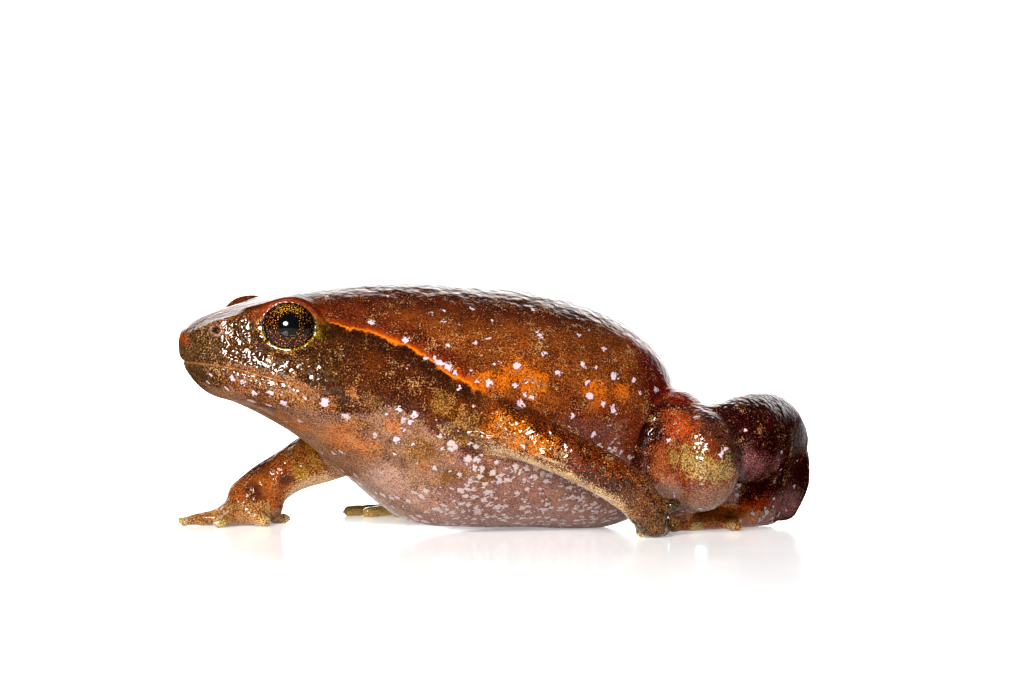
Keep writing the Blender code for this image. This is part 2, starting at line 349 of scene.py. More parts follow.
def add_node(tree: NodeTree, kind: str, inputs: dict | None = None, **settings: object) -> bpy.types.Node:
    """Adds a node to a tree.

    Args:
        tree: The tree that gets it.
        kind: Its type.
        inputs: What its sockets take, by name or number: another node's output, or a plain value.
        settings: Its own properties.

    Returns:
        The node.
    """
    made = tree.nodes.new(kind)
    for name, value in settings.items():
        setattr(made, name, value)
    for key, value in (inputs or {}).items():
        socket = made.inputs[key]
        if isinstance(value, Socket):
            tree.links.new(value, socket)
        else:
            socket.default_value = value
    return made


def new_material(name: str) -> tuple[Material, partial, bpy.types.Node]:
    """An empty material.

    Args:
        name: Its name.

    Returns:
        The material, a call that adds nodes to it, and its Principled shader.
    """
    material = bpy.data.materials.new(name)
    material.use_nodes = True
    tree = material.node_tree
    tree.nodes.clear()
    add = partial(add_node, tree)
    shader = add("ShaderNodeBsdfPrincipled")
    add("ShaderNodeOutputMaterial", {"Surface": shader.outputs[0]})
    return material, add, shader


@dataclass(frozen=True)
class Patch:
    """Skin of one colouring: its dark ground, its pale flecks, the share that they take, and its edge."""

    mask: str  # the value on the skin's points that says where it lies
    ground: str
    fleck: str
    share: float
    ragged: float = 0.55  # how far the noise moves its edge
    soft: float = 0.22  # half the range over which it fades in


@dataclass(frozen=True)
class WetSkin:
    """The living skin of a frog: thin, a little see-through, and coated with a film of clear mucus.

    The pigment lies in cells about a tenth of a millimetre wide, dark ones over gold and orange ones, which
    gives a fine stipple, and the wet film gives small hard highlights that the granules break up.
    """

    name: str = "wet_frog_skin"
    cell_mm: float = 0.085
    mottle_mm: float = 0.8
    blotch_mm: float = 2.8
    edge_mm: float = 1.1
    granule_mm: float = 0.31
    crease_mm: float = 0.62
    spot_pitch_mm: float = 0.80
    belly_pitch_mm: float = 0.52
    # How much the cells, the mottling and the broad blotches let flecks gather and thin out.
    stipple: float = 3.6
    mottling: float = 1.3
    blotching: float = 0.7
    edge_stipple: float = 1.1  # how much the cells break up a patch's edge
    spot_roughness: float = 0.60
    film_relief_mm: float = 0.12
    skin_relief_mm: float = 0.04
    back: tuple[str, str, float] = ("#3a1a0b", "#7e4416", 0.47)
    spot_colour: str = "#b8a2a8"
    belly_spot_colour: str = "#a89894"
    spot_rim_colour: str = "#2a120c"
    spot_strength: float = 0.86
    spot_rim_strength: float = 0.40
    # The bands of the line along the side: colour, the heights in millimetres over the line where each
    # starts, is full, begins to fade and ends, and its strength.
    line_bands: tuple[tuple[str, float, float, float, float, float], ...] = (
        ("#180905", -1.3, -0.7, -0.12, 0.0, 0.62),
        ("#7a2608", -0.02, 0.10, 0.16, 0.60, 0.60),
        ("#9e480a", -0.22, -0.10, 0.08, 0.24, 0.90),
        ("#a66c16", -0.15, -0.08, -0.02, 0.07, 0.70),
    )
    # The small marks of the face: the value on the points, colour, and how far the stipple breaks them up.
    face_marks: tuple[tuple[str, str, float], ...] = (
        ("mouth", "#8a5c34", 0.0),
        ("lid_dark", "#140806", 0.0),
        ("lid_yellow", "#b89c28", 5.0),
        ("lid_red", "#80300f", 1.6),
        # The nostril's dark colour is painted shade in its pit, darker and wider than the shallow sink
        # would shade.
        ("nostril", "#20100a", 0.0),
        ("nostril_rim", "#a07868", 2.0),
    )
    patches: tuple[Patch, ...] = (
        Patch("top", "#1f0904", "#58250e", 0.36, soft=0.45),
        Patch("over_stripe", "#2a1008", "#662c10", 0.42, soft=0.45),
        Patch("rump", "#280302", "#711304", 0.42, soft=0.45),
        Patch("orange", "#542608", "#ac5a0c", 0.54, ragged=2.6, soft=0.16),
        Patch("dark", "#2c1308", "#7c4018", 0.36, ragged=2.4, soft=0.10),
        Patch("side", "#26110a", "#54290c", 0.42, soft=0.25),
        Patch("face", "#1f110a", "#4f2f10", 0.44, soft=0.30),
        Patch("snout", "#1f130c", "#5c4226", 0.42, soft=0.4),
        Patch("snout_tip", "#5a220c", "#944418", 0.50, soft=0.4),
        Patch("jaw", "#361c10", "#8a5c38", 0.46, soft=0.4),
        Patch("belly", "#5a3c34", "#8c6458", 0.50, ragged=1.3, soft=0.35),
        # Paler throat and belly front: partly paler skin, partly a painted sheen that stands in for the
        # glassy highlight on it.
        Patch("throat_pale", "#7c6c66", "#a89a94", 0.50, ragged=1.2, soft=0.35),
        Patch("chest", "#4e3426", "#8e6a52", 0.50, ragged=1.6, soft=0.35),
        Patch("chest_dark", "#2a1812", "#644434", 0.42, ragged=2.2, soft=0.25),
        Patch("rust", "#58311c", "#a26840", 0.52, ragged=2.2, soft=0.3),
        Patch("dusk", "#36140c", "#743418", 0.42, ragged=1.2, soft=0.3),
        Patch("gold", "#50301c", "#8e6628", 0.14, ragged=2.5, soft=0.3),
        Patch("eye_tinge", "#3c2808", "#8c6c14", 0.45, ragged=1.2, soft=0.4),
        Patch("arm", "#1a0803", "#6c2f08", 0.38, soft=0.2),
        Patch("far_arm", "#44200a", "#8e4e1e", 0.50, soft=0.25),
        Patch("far_gold", "#5a3810", "#9c741a", 0.50, ragged=1.2, soft=0.35),
        Patch("arm_orange", "#4c2205", "#ac620a", 0.50, ragged=1.2, soft=0.25),
        Patch("arm_dark", "#1c0a06", "#552814", 0.42, ragged=1.2, soft=0.25),
        Patch("leg", "#110302", "#3a0d0b", 0.38, soft=0.3),
        Patch("knee", "#38130a", "#7a3818", 0.46, ragged=0.9, soft=0.3),
        Patch("knee_amber", "#5a2a14", "#96542e", 0.50, ragged=1.0, soft=0.4),
        Patch("leg_dusk", "#24100c", "#56301f", 0.42, ragged=1.0, soft=0.3),
        Patch("leg_red", "#561a08", "#9c441c", 0.48, ragged=2.0, soft=0.35),
        Patch("leg_pink", "#4c2e20", "#7e5642", 0.50, ragged=0.9, soft=0.35),
        Patch("leg_gold", "#3a2410", "#967840", 0.50, ragged=3.0, soft=0.3),
        Patch("leg_plum", "#3a1c1c", "#744646", 0.50, ragged=0.9, soft=0.4),
        Patch("heel", "#4a2c2a", "#74504c", 0.50, ragged=0.9, soft=0.4),
        Patch("hand", "#180d06", "#6a4620", 0.42, soft=0.35),
        Patch("foot", "#502610", "#b46a22", 0.48),
        Patch("foot_red", "#4c1406", "#9c3a10", 0.48, ragged=1.4, soft=0.3),
        Patch("far_hand", "#4c3018", "#a27444", 0.50, soft=0.35),
        Patch("wrist", "#24110a", "#74421c", 0.44, ragged=1.2, soft=0.35),
        # Paler front of the belly: partly paler skin, partly a painted sheen that stands in for the
        # highlights along its skin folds.
        Patch("pale", "#6e4a3c", "#a08070", 0.50, ragged=1.2, soft=0.35),
        Patch("pad", "#5e4f37", "#a9915a", 0.55),
        Patch("ball", "#120d08", "#44381c", 0.40, soft=0.3),
        Patch("far_toes", "#8a6a38", "#c8a868", 0.60, soft=0.4),
        # Paler, yellowish underside of the arms: partly the arm's own yellow underside, partly painted rim
        # light from the white floor along the lower edge.
        Patch("under", "#7a5638", "#b89a70", 0.50, ragged=0.8, soft=0.35),
    )

    def build(self) -> Material:
        """Makes the material, which reads the values that FrogSkin keeps on its points.

        Returns:
            The material.
        """
        material, add, shader = new_material(self.name)
        place = add("ShaderNodeTexCoord").outputs["Object"]
        mm = add("ShaderNodeMapping", {"Vector": place, "Scale": (1 / MM,) * 3}).outputs[0]
        cells = add(NOISE, {"Vector": mm, "Scale": 1 / self.cell_mm, "Detail": 1.0}).outputs["Fac"]
        mottle = add(
            NOISE, {"Vector": mm, "Scale": 1 / self.mottle_mm, "Detail": 4.0, "Roughness": 0.62}
        ).outputs["Fac"]
        edge = add(
            NOISE, {"Vector": mm, "Scale": 1 / self.edge_mm, "Detail": 4.0, "Roughness": 0.72}
        ).outputs["Fac"]
        edge = add(MATH, {0: edge, 1: 0.5}, operation="SUBTRACT").outputs[0]
        broad = add(NOISE, {"Vector": mm, "Scale": 1 / self.blotch_mm, "Detail": 2.0}).outputs["Fac"]
        dots = add(
            MATH, {0: cells, 1: self.edge_stipple, 2: -self.edge_stipple / 2}, operation="MULTIPLY_ADD"
        ).outputs[0]

        ground, fleck = linear(self.back[0]), linear(self.back[1])
        share = self.back[2]
        for patch in self.patches:
            mask = add(ATTRIBUTE, attribute_name=patch.mask).outputs["Fac"]
            ragged = add(MATH, {0: edge, 1: patch.ragged, 2: mask}, operation="MULTIPLY_ADD").outputs[0]
            ragged = add(MATH, {0: ragged, 1: dots}, operation="ADD").outputs[0]
            weight = add(
                MAP_RANGE,
                {"Value": ragged, "From Min": 0.5 - patch.soft, "From Max": 0.5 + patch.soft},
                interpolation_type="SMOOTHSTEP",
            ).outputs[0]
            ground = add(MIX, {0: weight, 6: ground, 7: linear(patch.ground)}, data_type="RGBA").outputs[2]
            fleck = add(MIX, {0: weight, 6: fleck, 7: linear(patch.fleck)}, data_type="RGBA").outputs[2]
            share = add(MIX, {0: weight, 2: share, 3: patch.share}, data_type="FLOAT").outputs[0]

        # A fleck shows where the cells' noise, shifted by the mottling and the patch's own share, is high.
        lifted = None
        for noise, contrast in ((cells, self.stipple), (mottle, self.mottling), (broad, self.blotching)):
            part = add(MATH, {0: noise, 1: contrast, 2: -contrast / 2}, operation="MULTIPLY_ADD").outputs[0]
            lifted = part if lifted is None else add(MATH, {0: lifted, 1: part}, operation="ADD").outputs[0]
        amount = add(MATH, {0: lifted, 1: share}, operation="ADD", use_clamp=True).outputs[0]
        colour = add(MIX, {0: amount, 6: ground, 7: fleck}, data_type="RGBA").outputs[2]

        colour = self.stripe(add, colour, edge)
        colour, spot_height = self.spots(add, colour, mm, edge)
        colour = self.fine_lines(add, colour, dots)

        granules = add(
            VORONOI,
            {"Vector": mm, "Scale": 1 / self.granule_mm, "Smoothness": 0.6},
            feature="SMOOTH_F1",
        ).outputs["Distance"]
        creases = add(
            NOISE, {"Vector": mm, "Scale": 1 / self.crease_mm, "Detail": 1.0, "Roughness": 0.5}
        ).outputs["Fac"]
        grainy = add(ATTRIBUTE, attribute_name="grain").outputs["Fac"]
        creased = add(ATTRIBUTE, attribute_name="creased").outputs["Fac"]
        small = add(MATH, {0: granules, 1: grainy}, operation="MULTIPLY").outputs[0]
        small = add(MATH, {0: small, 1: -0.55}, operation="MULTIPLY").outputs[0]
        height = add(MATH, {0: creases, 1: creased, 2: small}, operation="MULTIPLY_ADD").outputs[0]
        height = add(MATH, {0: spot_height, 1: 0.25, 2: height}, operation="MULTIPLY_ADD").outputs[0]
        bump, film_bump = (
            add("ShaderNodeBump", {"Height": height, "Strength": 1.0, "Distance": relief * MM}).outputs[0]
            for relief in (self.skin_relief_mm, self.film_relief_mm)
        )
        plain_inputs = {
            "Roughness": 0.42,
            "IOR": 1.4,
            "Specular IOR Level": 0.0,
            "Subsurface Weight": 0.12,
            "Subsurface Radius": (1.0, 0.35, 0.15),
            "Subsurface Scale": 0.5 * MM,
            "Coat Roughness": 0.03,
            "Coat IOR": 1.38,
        }
        for key, value in plain_inputs.items():
            shader.inputs[key].default_value = value
        film = add(ATTRIBUTE, attribute_name="film").outputs["Fac"]
        for key, socket in (
            ("Base Color", colour), ("Normal", bump), ("Coat Normal", film_bump), ("Coat Weight", film),
        ):
            material.node_tree.links.new(socket, shader.inputs[key])
        return material

    def stripe(self, add: partial, colour: Socket, edge: Socket) -> Socket:
        """Draws the line along each side: yellow, with a red-orange edge above it and a dark one below.

        Args:
            add: The call that adds a node.
            colour: The skin's colour without the line.
            edge: Noise about 0 that makes the line's edges uneven.

        Returns:
            The colour with the line.
        """
        distance = add(ATTRIBUTE, attribute_name="stripe_mm").outputs["Fac"]
        shown = add(ATTRIBUTE, attribute_name="stripe").outputs["Fac"]
        distance = add(MATH, {0: edge, 1: 1.2, 2: distance}, operation="MULTIPLY_ADD").outputs[0]
        for hex_colour, start, full, fade, end, strength in self.line_bands:
            rise = add(MAP_RANGE, {0: distance, 1: start, 2: full}).outputs[0]
            fall = add(MAP_RANGE, {0: distance, 1: end, 2: fade}).outputs[0]
            band = add(MATH, {0: rise, 1: fall}, operation="MULTIPLY").outputs[0]
            band = add(MATH, {0: band, 1: shown}, operation="MULTIPLY").outputs[0]
            band = add(MATH, {0: band, 1: strength}, operation="MULTIPLY").outputs[0]
            colour = add(MIX, {0: band, 6: colour, 7: linear(hex_colour)}, data_type="RGBA").outputs[2]
        return colour

    def spots(self, add: partial, colour: Socket, mm: Socket, edge: Socket) -> tuple[Socket, Socket]:
        """Scatters the pale lavender spots, each of an uneven outline and with a dark rim.

        Args:
            add: The call that adds a node.
            colour: The skin's colour without the spots.
            mm: The place on the skin in millimetres.
            edge: Noise about 0 that makes the outlines uneven.

        Returns:
            The colour with the spots, and how far each place lies in a spot, from 0 to 1.
        """
        fine = add(NOISE, {"Vector": mm, "Scale": 6.0, "Detail": 1.0}).outputs["Fac"]
        rough = add(
            MATH, {0: fine, 1: self.spot_roughness, 2: -self.spot_roughness / 2}, operation="MULTIPLY_ADD"
        ).outputs[0]
        rough = add(MATH, {0: edge, 1: 0.12, 2: rough}, operation="MULTIPLY_ADD").outputs[0]
        layers = []
        # The spots lie one to a cell of the pitch, with radii between the least and the most.
        for pitch, least, most, shift, mask, pale in (
            (self.belly_pitch_mm, 0.16, 0.26, 7.3, "belly_spots", self.belly_spot_colour),
            (self.spot_pitch_mm, 0.05, 0.15, 0.0, "spots", self.spot_colour),
        ):
            wanted = add(ATTRIBUTE, attribute_name=mask).outputs["Fac"]
            moved = add(VECTOR_MATH, {0: mm, 1: (shift, shift, shift)}, operation="ADD").outputs[0]
            cell = add(VORONOI, {"Vector": moved, "Scale": 1 / pitch})
            away = add(MATH, {0: cell.outputs["Distance"], 1: pitch}, operation="MULTIPLY").outputs[0]
            chance = add("ShaderNodeSeparateColor", {0: cell.outputs["Color"]})
            radius = add(MAP_RANGE, {0: chance.outputs[0], 3: least, 4: most}).outputs[0]
            there = add(MATH, {0: chance.outputs[1], 1: wanted}, operation="LESS_THAN").outputs[0]
            inside = add(MATH, {0: radius, 1: away}, operation="SUBTRACT").outputs[0]
            layers.append((inside, there, pale))
        inside = add(ATTRIBUTE, attribute_name="pale_spot_mm").outputs["Fac"]
        layers.append((inside, 1.0, self.spot_colour))
        total = None
        for inside, there, pale in layers:
            inside = add(MATH, {0: inside, 1: rough}, operation="SUBTRACT").outputs[0]
            spot = add(MAP_RANGE, {0: inside, 1: -0.02, 2: 0.05}).outputs[0]
            rim = add(MAP_RANGE, {0: inside, 1: -0.14, 2: -0.03}).outputs[0]
            spot = add(MATH, {0: spot, 1: there}, operation="MULTIPLY").outputs[0]
            rim = add(MATH, {0: rim, 1: there}, operation="MULTIPLY").outputs[0]
            rim = add(MATH, {0: rim, 1: self.spot_rim_strength}, operation="MULTIPLY").outputs[0]
            rim_colour = linear(self.spot_rim_colour)
            colour = add(MIX, {0: rim, 6: colour, 7: rim_colour}, data_type="RGBA").outputs[2]
            shade = add(MATH, {0: spot, 1: self.spot_strength}, operation="MULTIPLY").outputs[0]
            colour = add(MIX, {0: shade, 6: colour, 7: linear(pale)}, data_type="RGBA").outputs[2]
            if total is None:
                total = spot
            else:
                total = add(MATH, {0: total, 1: spot}, operation="MAXIMUM").outputs[0]
        return colour, total

    def fine_lines(self, add: partial, colour: Socket, dots: Socket) -> Socket:
        """Colours the lips' seam, the rims of the eyes and the nostrils.

        Args:
            add: The call that adds a node.
            colour: The skin's colour without them.
            dots: Noise about 0 that breaks up the yellow line round the eye.

        Returns:
            The colour with them.
        """
        for mask, hex_colour, broken in self.face_marks:
            amount = add(ATTRIBUTE, attribute_name=mask).outputs["Fac"]
            if broken:
                kept = add(MATH, {0: dots, 1: broken, 2: 0.55}, operation="MULTIPLY_ADD", use_clamp=True)
                amount = add(MATH, {0: amount, 1: kept.outputs[0]}, operation="MULTIPLY").outputs[0]
            colour = add(MIX, {0: amount, 6: colour, 7: linear(hex_colour)}, data_type="RGBA").outputs[2]
        return colour


@dataclass(frozen=True)
class LivingEye:
    """A frog's eye: a black pupil in a dark iris with metallic flecks, under a clear wet cornea.

    The cornea is a smooth clear coat, so the highlights stay sharp over the fine flecks.
    """

    name: str = "living_eye"
    fleck_mm: float = 0.075
    iris: str = "#0a0403"
    gold: str = "#c08c34"
    orange: str = "#a04c20"
    pupil: str = "#09080a"

    def build(self) -> Material:
        """Makes the material, which reads the values that Eye keeps on its points.

        Returns:
            The material.
        """
        material, add, shader = new_material(self.name)
        across = add(ATTRIBUTE, attribute_name="iris_across").outputs["Fac"]
        up = add(ATTRIBUTE, attribute_name="iris_up").outputs["Fac"]
        disc = add("ShaderNodeCombineXYZ", {0: across, 1: up}).outputs[0]
        flecks = add(
            NOISE, {"Vector": disc, "Scale": 1 / self.fleck_mm, "Detail": 1.0, "Roughness": 0.5}
        ).outputs["Fac"]
        colour = linear(self.iris)
        for mask, hex_colour in (("iris_orange", self.orange), ("iris_gold", self.gold)):
            share = add(ATTRIBUTE, attribute_name=mask).outputs["Fac"]
            # Only the peaks of the noise are flecks, and they lie denser where there's more of the colour.
            sharp = add(MATH, {0: flecks, 1: 14.0, 2: -9.0}, operation="MULTIPLY_ADD").outputs[0]
            share = add(MATH, {0: share, 1: 2.2, 2: sharp}, operation="MULTIPLY_ADD", use_clamp=True)
            kept = add(MATH, {0: share.outputs[0], 1: 0.9}, operation="MULTIPLY").outputs[0]
            colour = add(MIX, {0: kept, 6: colour, 7: linear(hex_colour)}, data_type="RGBA").outputs[2]
        pupil = add(ATTRIBUTE, attribute_name="pupil").outputs["Fac"]
        colour = add(MIX, {0: pupil, 6: colour, 7: linear(self.pupil)}, data_type="RGBA").outputs[2]
        for key, value in {
            "Roughness": 0.35,
            "IOR": 1.38,
            "Specular IOR Level": 0.0,
            "Coat Weight": 0.7,
            "Coat Roughness": 0.05,
            "Coat IOR": 1.376,
        }.items():
            shader.inputs[key].default_value = value
        material.node_tree.links.new(colour, shader.inputs["Base Color"])
        return material


@dataclass(frozen=True)
class WhiteAcrylic:
    """Polished white acrylic sheet: milky white under a smooth surface that mirrors what stands on it."""

    name: str = "white_acrylic_sheet"
    colour: str = "#f4f4f4"
    glow: float = 0.30

    def build(self) -> Material:
        """Makes the material.

        Returns:
            The material of the floor.
        """
        material, add, shader = new_material(self.name)
        place = add("ShaderNodeTexCoord").outputs["Object"]
        ripple = add(NOISE, {"Vector": place, "Scale": 120.0, "Detail": 2.0}).outputs["Fac"]
        rough = add(MAP_RANGE, {0: ripple, 3: 0.08, 4: 0.14}).outputs[0]
        shader.inputs["Base Color"].default_value = linear(self.colour)
        shader.inputs["IOR"].default_value = 1.49
        shader.inputs["Specular IOR Level"].default_value = 0.25
        shader.inputs["Emission Color"].default_value = linear(self.colour)
        shader.inputs["Emission Strength"].default_value = self.glow
        material.node_tree.links.new(rough, shader.inputs["Roughness"])
        return material


# The frog


@dataclass(frozen=True)
class Trunk:
    """Head and body in one, as sections from snout to rump.

    A station has its place along the body, the top and bottom of the section, its half width, the height
    where it is widest, and how square its top and its bottom are.
    """

    stations: Rows = (
        (0.63, 12.00, 11.55, 0.45, 11.78, 2.0, 2.0),
        (0.72, 12.42, 11.15, 1.05, 11.70, 2.4, 2.0),
        (1.05, 12.88, 10.55, 1.75, 11.30, 2.6, 2.5),
        (1.75, 13.35, 9.46, 2.55, 10.65, 2.5, 2.8),
        (2.90, 13.80, 8.56, 3.50, 10.05, 2.4, 2.9),
        (4.40, 14.22, 8.10, 4.45, 9.45, 2.4, 2.7),
        (6.30, 14.62, 7.20, 5.25, 9.00, 2.5, 2.4),
        (8.60, 15.00, 5.75, 5.80, 8.80, 2.3, 2.1),
        (11.40, 15.30, 3.45, 6.35, 8.40, 2.2, 2.0),
        (15.00, 15.50, 0.72, 7.20, 7.70, 2.1, 2.0),
        (19.00, 15.25, 0.20, 8.00, 7.20, 2.1, 2.0),
        (23.00, 14.92, 0.10, 8.25, 7.00, 2.1, 2.0),
        (27.00, 13.88, -0.12, 7.70, 7.00, 2.1, 2.0),
        (29.80, 12.45, 0.60, 6.30, 7.10, 2.1, 2.0),
        (31.40, 10.90, 2.30, 4.50, 7.30, 2.0, 2.0),
        (32.20, 9.30, 4.60, 2.40, 7.20, 2.0, 2.0),
        (32.45, 8.00, 6.40, 0.80, 7.20, 2.0, 2.0),
    )
    steps: int = 170
    around: int = 112
    # How steeply the flat top of the head falls from its middle to its edges, along the body.
    roof: Rows = ((0.7, 0.22), (2.2, 0.17), (3.4, 0.14), (4.7, 0.09), (6.3, 0.0))
    # How much higher than the flat top the sides would meet.
    gable: Rows = ((0.7, 1.0), (1.7, 1.30), (4.7, 1.35), (6.3, 1.12), (8.0, 1.0))
    # Lines seen from the side, as height over place along the body.
    upper_line: Rows = (
        (0.6, 12.20), (1.4, 12.80), (2.4, 13.15), (3.7, 13.60), (5.0, 14.00), (7.1, 13.95), (7.9, 13.40),
        (9.5, 12.90), (11.2, 12.50), (12.6, 11.93), (14.3, 10.98), (15.7, 9.93), (16.9, 9.20), (17.9, 8.70),
        (19.6, 8.1),
    )
    belly_line: Rows = (
        (0.0, 9.0), (3.0, 8.8), (6.0, 8.6), (9.0, 8.3), (12.0, 8.0), (14.0, 6.6), (16.0, 5.2), (18.5, 4.6),
        (20.5, 5.4), (22.5, 5.8), (25.0, 5.6), (27.5, 4.8), (29.5, 4.2), (32.0, 3.6),
    )

    def rings(self) -> list[Array]:
        """Makes the sections: two half superellipses each, that meet where it is widest.

        Returns:
            The sections from snout to rump.
        """
        made = []
        angles = 2 * math.pi * np.arange(self.around) / self.around
        side, up = np.cos(angles), np.sin(angles)
        for x, top, bottom, half, wide, top_power, bottom_power in smooth_rows(self.stations, self.steps):
            power = np.where(up > 0, top_power, bottom_power)
            peak = (top - wide) * np.interp(x, *zip(*self.gable))
            height = np.where(up > 0, peak, wide - bottom)
            reach = (np.abs(side) ** power + np.abs(up) ** power) ** (-1 / power)
            across, level = half * side * reach, wide + height * up * reach
            fall = np.interp(x, *zip(*self.roof))
            level = np.minimum(level, top - fall * (np.hypot(across, 0.3) - 0.3))
            made.append(np.stack([np.full(self.around, x), across, level], 1))
        return made

    @staticmethod
    def height_of(line: Rows, x: Array) -> Array:
        """The height of a side line at each place along the body."""
        rows = smooth_rows(line, 12 * len(line))
        return np.interp(x, rows[:, 0], rows[:, 1])


@dataclass(frozen=True)
class Digit:
    """A finger or toe: thick at its root, slim along its length and rounded out at its tip."""

    points: Rows
    root: float = 0.56
    neck: float = 0.40
    tip: float = 0.48
    flatness: float = 0.85

    def stations(self) -> Rows:
        """The rows of the digit's tube."""
        widths = (self.root, self.neck, self.tip)
        return tuple((*point, width, width * self.flatness) for point, width in zip(self.points, widths))


TIP = 0.28  # height of a resting tip's centre, so low that the floor presses its pad a little flat


@dataclass(frozen=True)
class Arm:
    """An arm with its hand: rows of x, y, z, half width and half height from shoulder to wrist."""

    side: Side
    arm: Rows
    palm: Rows
    fingers: tuple[Digit, ...]

    def add_to(self, shell: Shell) -> None:
        """Adds the arm's tubes to the shell."""
        shell.loft(tube_rings(self.arm, 60, 40))
        shell.loft(tube_rings(self.palm, 24, 32), rests=True)
        for finger in self.fingers:
            shell.loft(tube_rings(finger.stations(), 24, 20), rests=True)


@dataclass(frozen=True)
class Leg:
    """A folded hind leg with its foot, and the flesh that fills the fold."""

    side: Side
    thigh: Rows
    shank: Rows
    tarsus: Rows
    sole: Rows
    toes: tuple[Digit, ...]
    fold: Rows

    def add_to(self, shell: Shell) -> None:
        """Adds the leg's tubes to the shell."""
        for stations in (self.thigh, self.shank, self.tarsus, self.fold):
            shell.loft(tube_rings(stations, 40, 44), rests=True)
        shell.loft(tube_rings(self.sole, 30, 36), rests=True)
        for toe in self.toes:
            shell.loft(tube_rings(toe.stations(), 24, 20), rests=True)


LEFT_ARM = Arm(
    side=Side.LEFT,
    arm=(
        (15.2, -5.4, 7.7, 1.8, 2.0),
        (18.4, -7.6, 6.8, 1.45, 1.6),
        (21.6, -9.4, 5.35, 1.2, 1.4),
        (24.4, -9.9, 3.9, 1.1, 1.35),
        (26.5, -9.9, 2.6, 1.0, 1.35),
    ),
    palm=((26.5, -9.9, 2.5, 0.95, 1.3), (27.1, -9.9, 1.6, 0.95, 1.25), (27.6, -9.9, 0.75, 0.9, 0.9)),
    fingers=(
        Digit(((27.4, -9.8, 1.1), (27.1, -9.7, 0.6), (26.9, -9.5, TIP))),
        Digit(((27.8, -9.6, 0.9), (27.9, -8.6, 0.5), (27.9, -7.8, TIP))),
        Digit(((28.0, -9.8, 0.9), (28.4, -9.3, 0.5), (28.6, -8.8, TIP))),
        Digit(((27.2, -10.0, 2.2), (28.0, -10.1, 2.2), (28.75, -10.2, 1.98)), neck=0.38, tip=0.55),
    ),
)

RIGHT_ARM = Arm(
    side=Side.RIGHT,
    arm=(
        (13.6, 4.4, 6.0, 2.0, 2.2),
        (12.2, 6.8, 4.7, 1.6, 1.9),
        (10.2, 8.5, 3.45, 1.4, 1.45),
        (8.7, 8.9, 2.45, 1.4, 1.45),
        (7.5, 8.9, 1.6, 1.4, 1.4),
    ),
    palm=((8.5, 8.9, 1.3, 1.4, 1.25), (7.3, 8.8, 1.0, 1.55, 1.1), (6.2, 8.7, 0.65, 1.4, 0.8)),
    fingers=(
        Digit(((6.5, 9.0, 0.65), (4.9, 9.2, 0.45), (3.3, 9.3, TIP)), 0.85, 0.55, 0.38),
        Digit(((6.6, 8.2, 0.65), (5.8, 7.6, 0.45), (5.0, 7.0, TIP)), 0.75, 0.52, 0.46),
        Digit(((7.1, 8.2, 0.8), (7.6, 7.5, 0.5), (8.0, 7.0, TIP)), 0.75, 0.52, 0.50),
        Digit(((7.4, 9.1, 0.8), (8.8, 9.3, 0.45), (10.1, 9.4, TIP)), 0.85, 0.55, 0.38),
    ),
)

LEFT_LEG = Leg(
    side=Side.LEFT,
    thigh=((29.6, -1.5, 6.7, 2.8, 2.9), (30.5, -5.6, 5.0, 2.6, 3.9), (31.2, -9.1, 4.5, 2.3, 3.1)),
    shank=(
        (31.5, -8.1, 6.0, 1.9, 2.0),
        (33.2, -8.2, 5.7, 2.2, 2.6),
        (35.0, -7.1, 5.75, 2.4, 2.75),
        (37.4, -4.8, 5.8, 2.1, 2.6),
        (39.2, -3.1, 5.2, 1.5, 2.0),
    ),
    tarsus=((39.35, -2.6, 4.4, 1.35, 1.6), (39.44, -2.6, 2.9, 1.3, 1.6), (38.8, -2.8, 1.55, 1.25, 1.5)),
    sole=(
        (37.9, -3.1, 1.35, 1.2, 1.35),
        (35.8, -4.0, 1.0, 1.4, 1.05),
        (33.6, -4.8, 0.75, 1.5, 0.85),
        (31.4, -5.2, 0.5, 1.25, 0.62),
    ),
    toes=(
        Digit(((34.9, -5.0, 0.6), (34.6, -5.9, 0.45), (34.2, -6.6, TIP)), tip=0.62),
        Digit(((34.3, -5.0, 0.6), (33.0, -5.6, 0.45), (31.9, -6.1, TIP))),
        Digit(((33.9, -4.7, 0.6), (32.1, -5.4, 0.45), (30.4, -6.0, TIP))),
        Digit(((33.8, -4.3, 0.6), (31.4, -4.5, 0.45), (29.3, -4.6, TIP))),
        Digit(((34.0, -3.9, 0.6), (32.3, -3.5, 0.45), (30.9, -3.1, TIP))),
    ),
    fold=((34.2, -5.2, 2.6, 1.2, 1.3), (36.4, -4.4, 2.8, 1.4, 1.6), (38.6, -3.1, 3.0, 1.3, 1.7)),
)

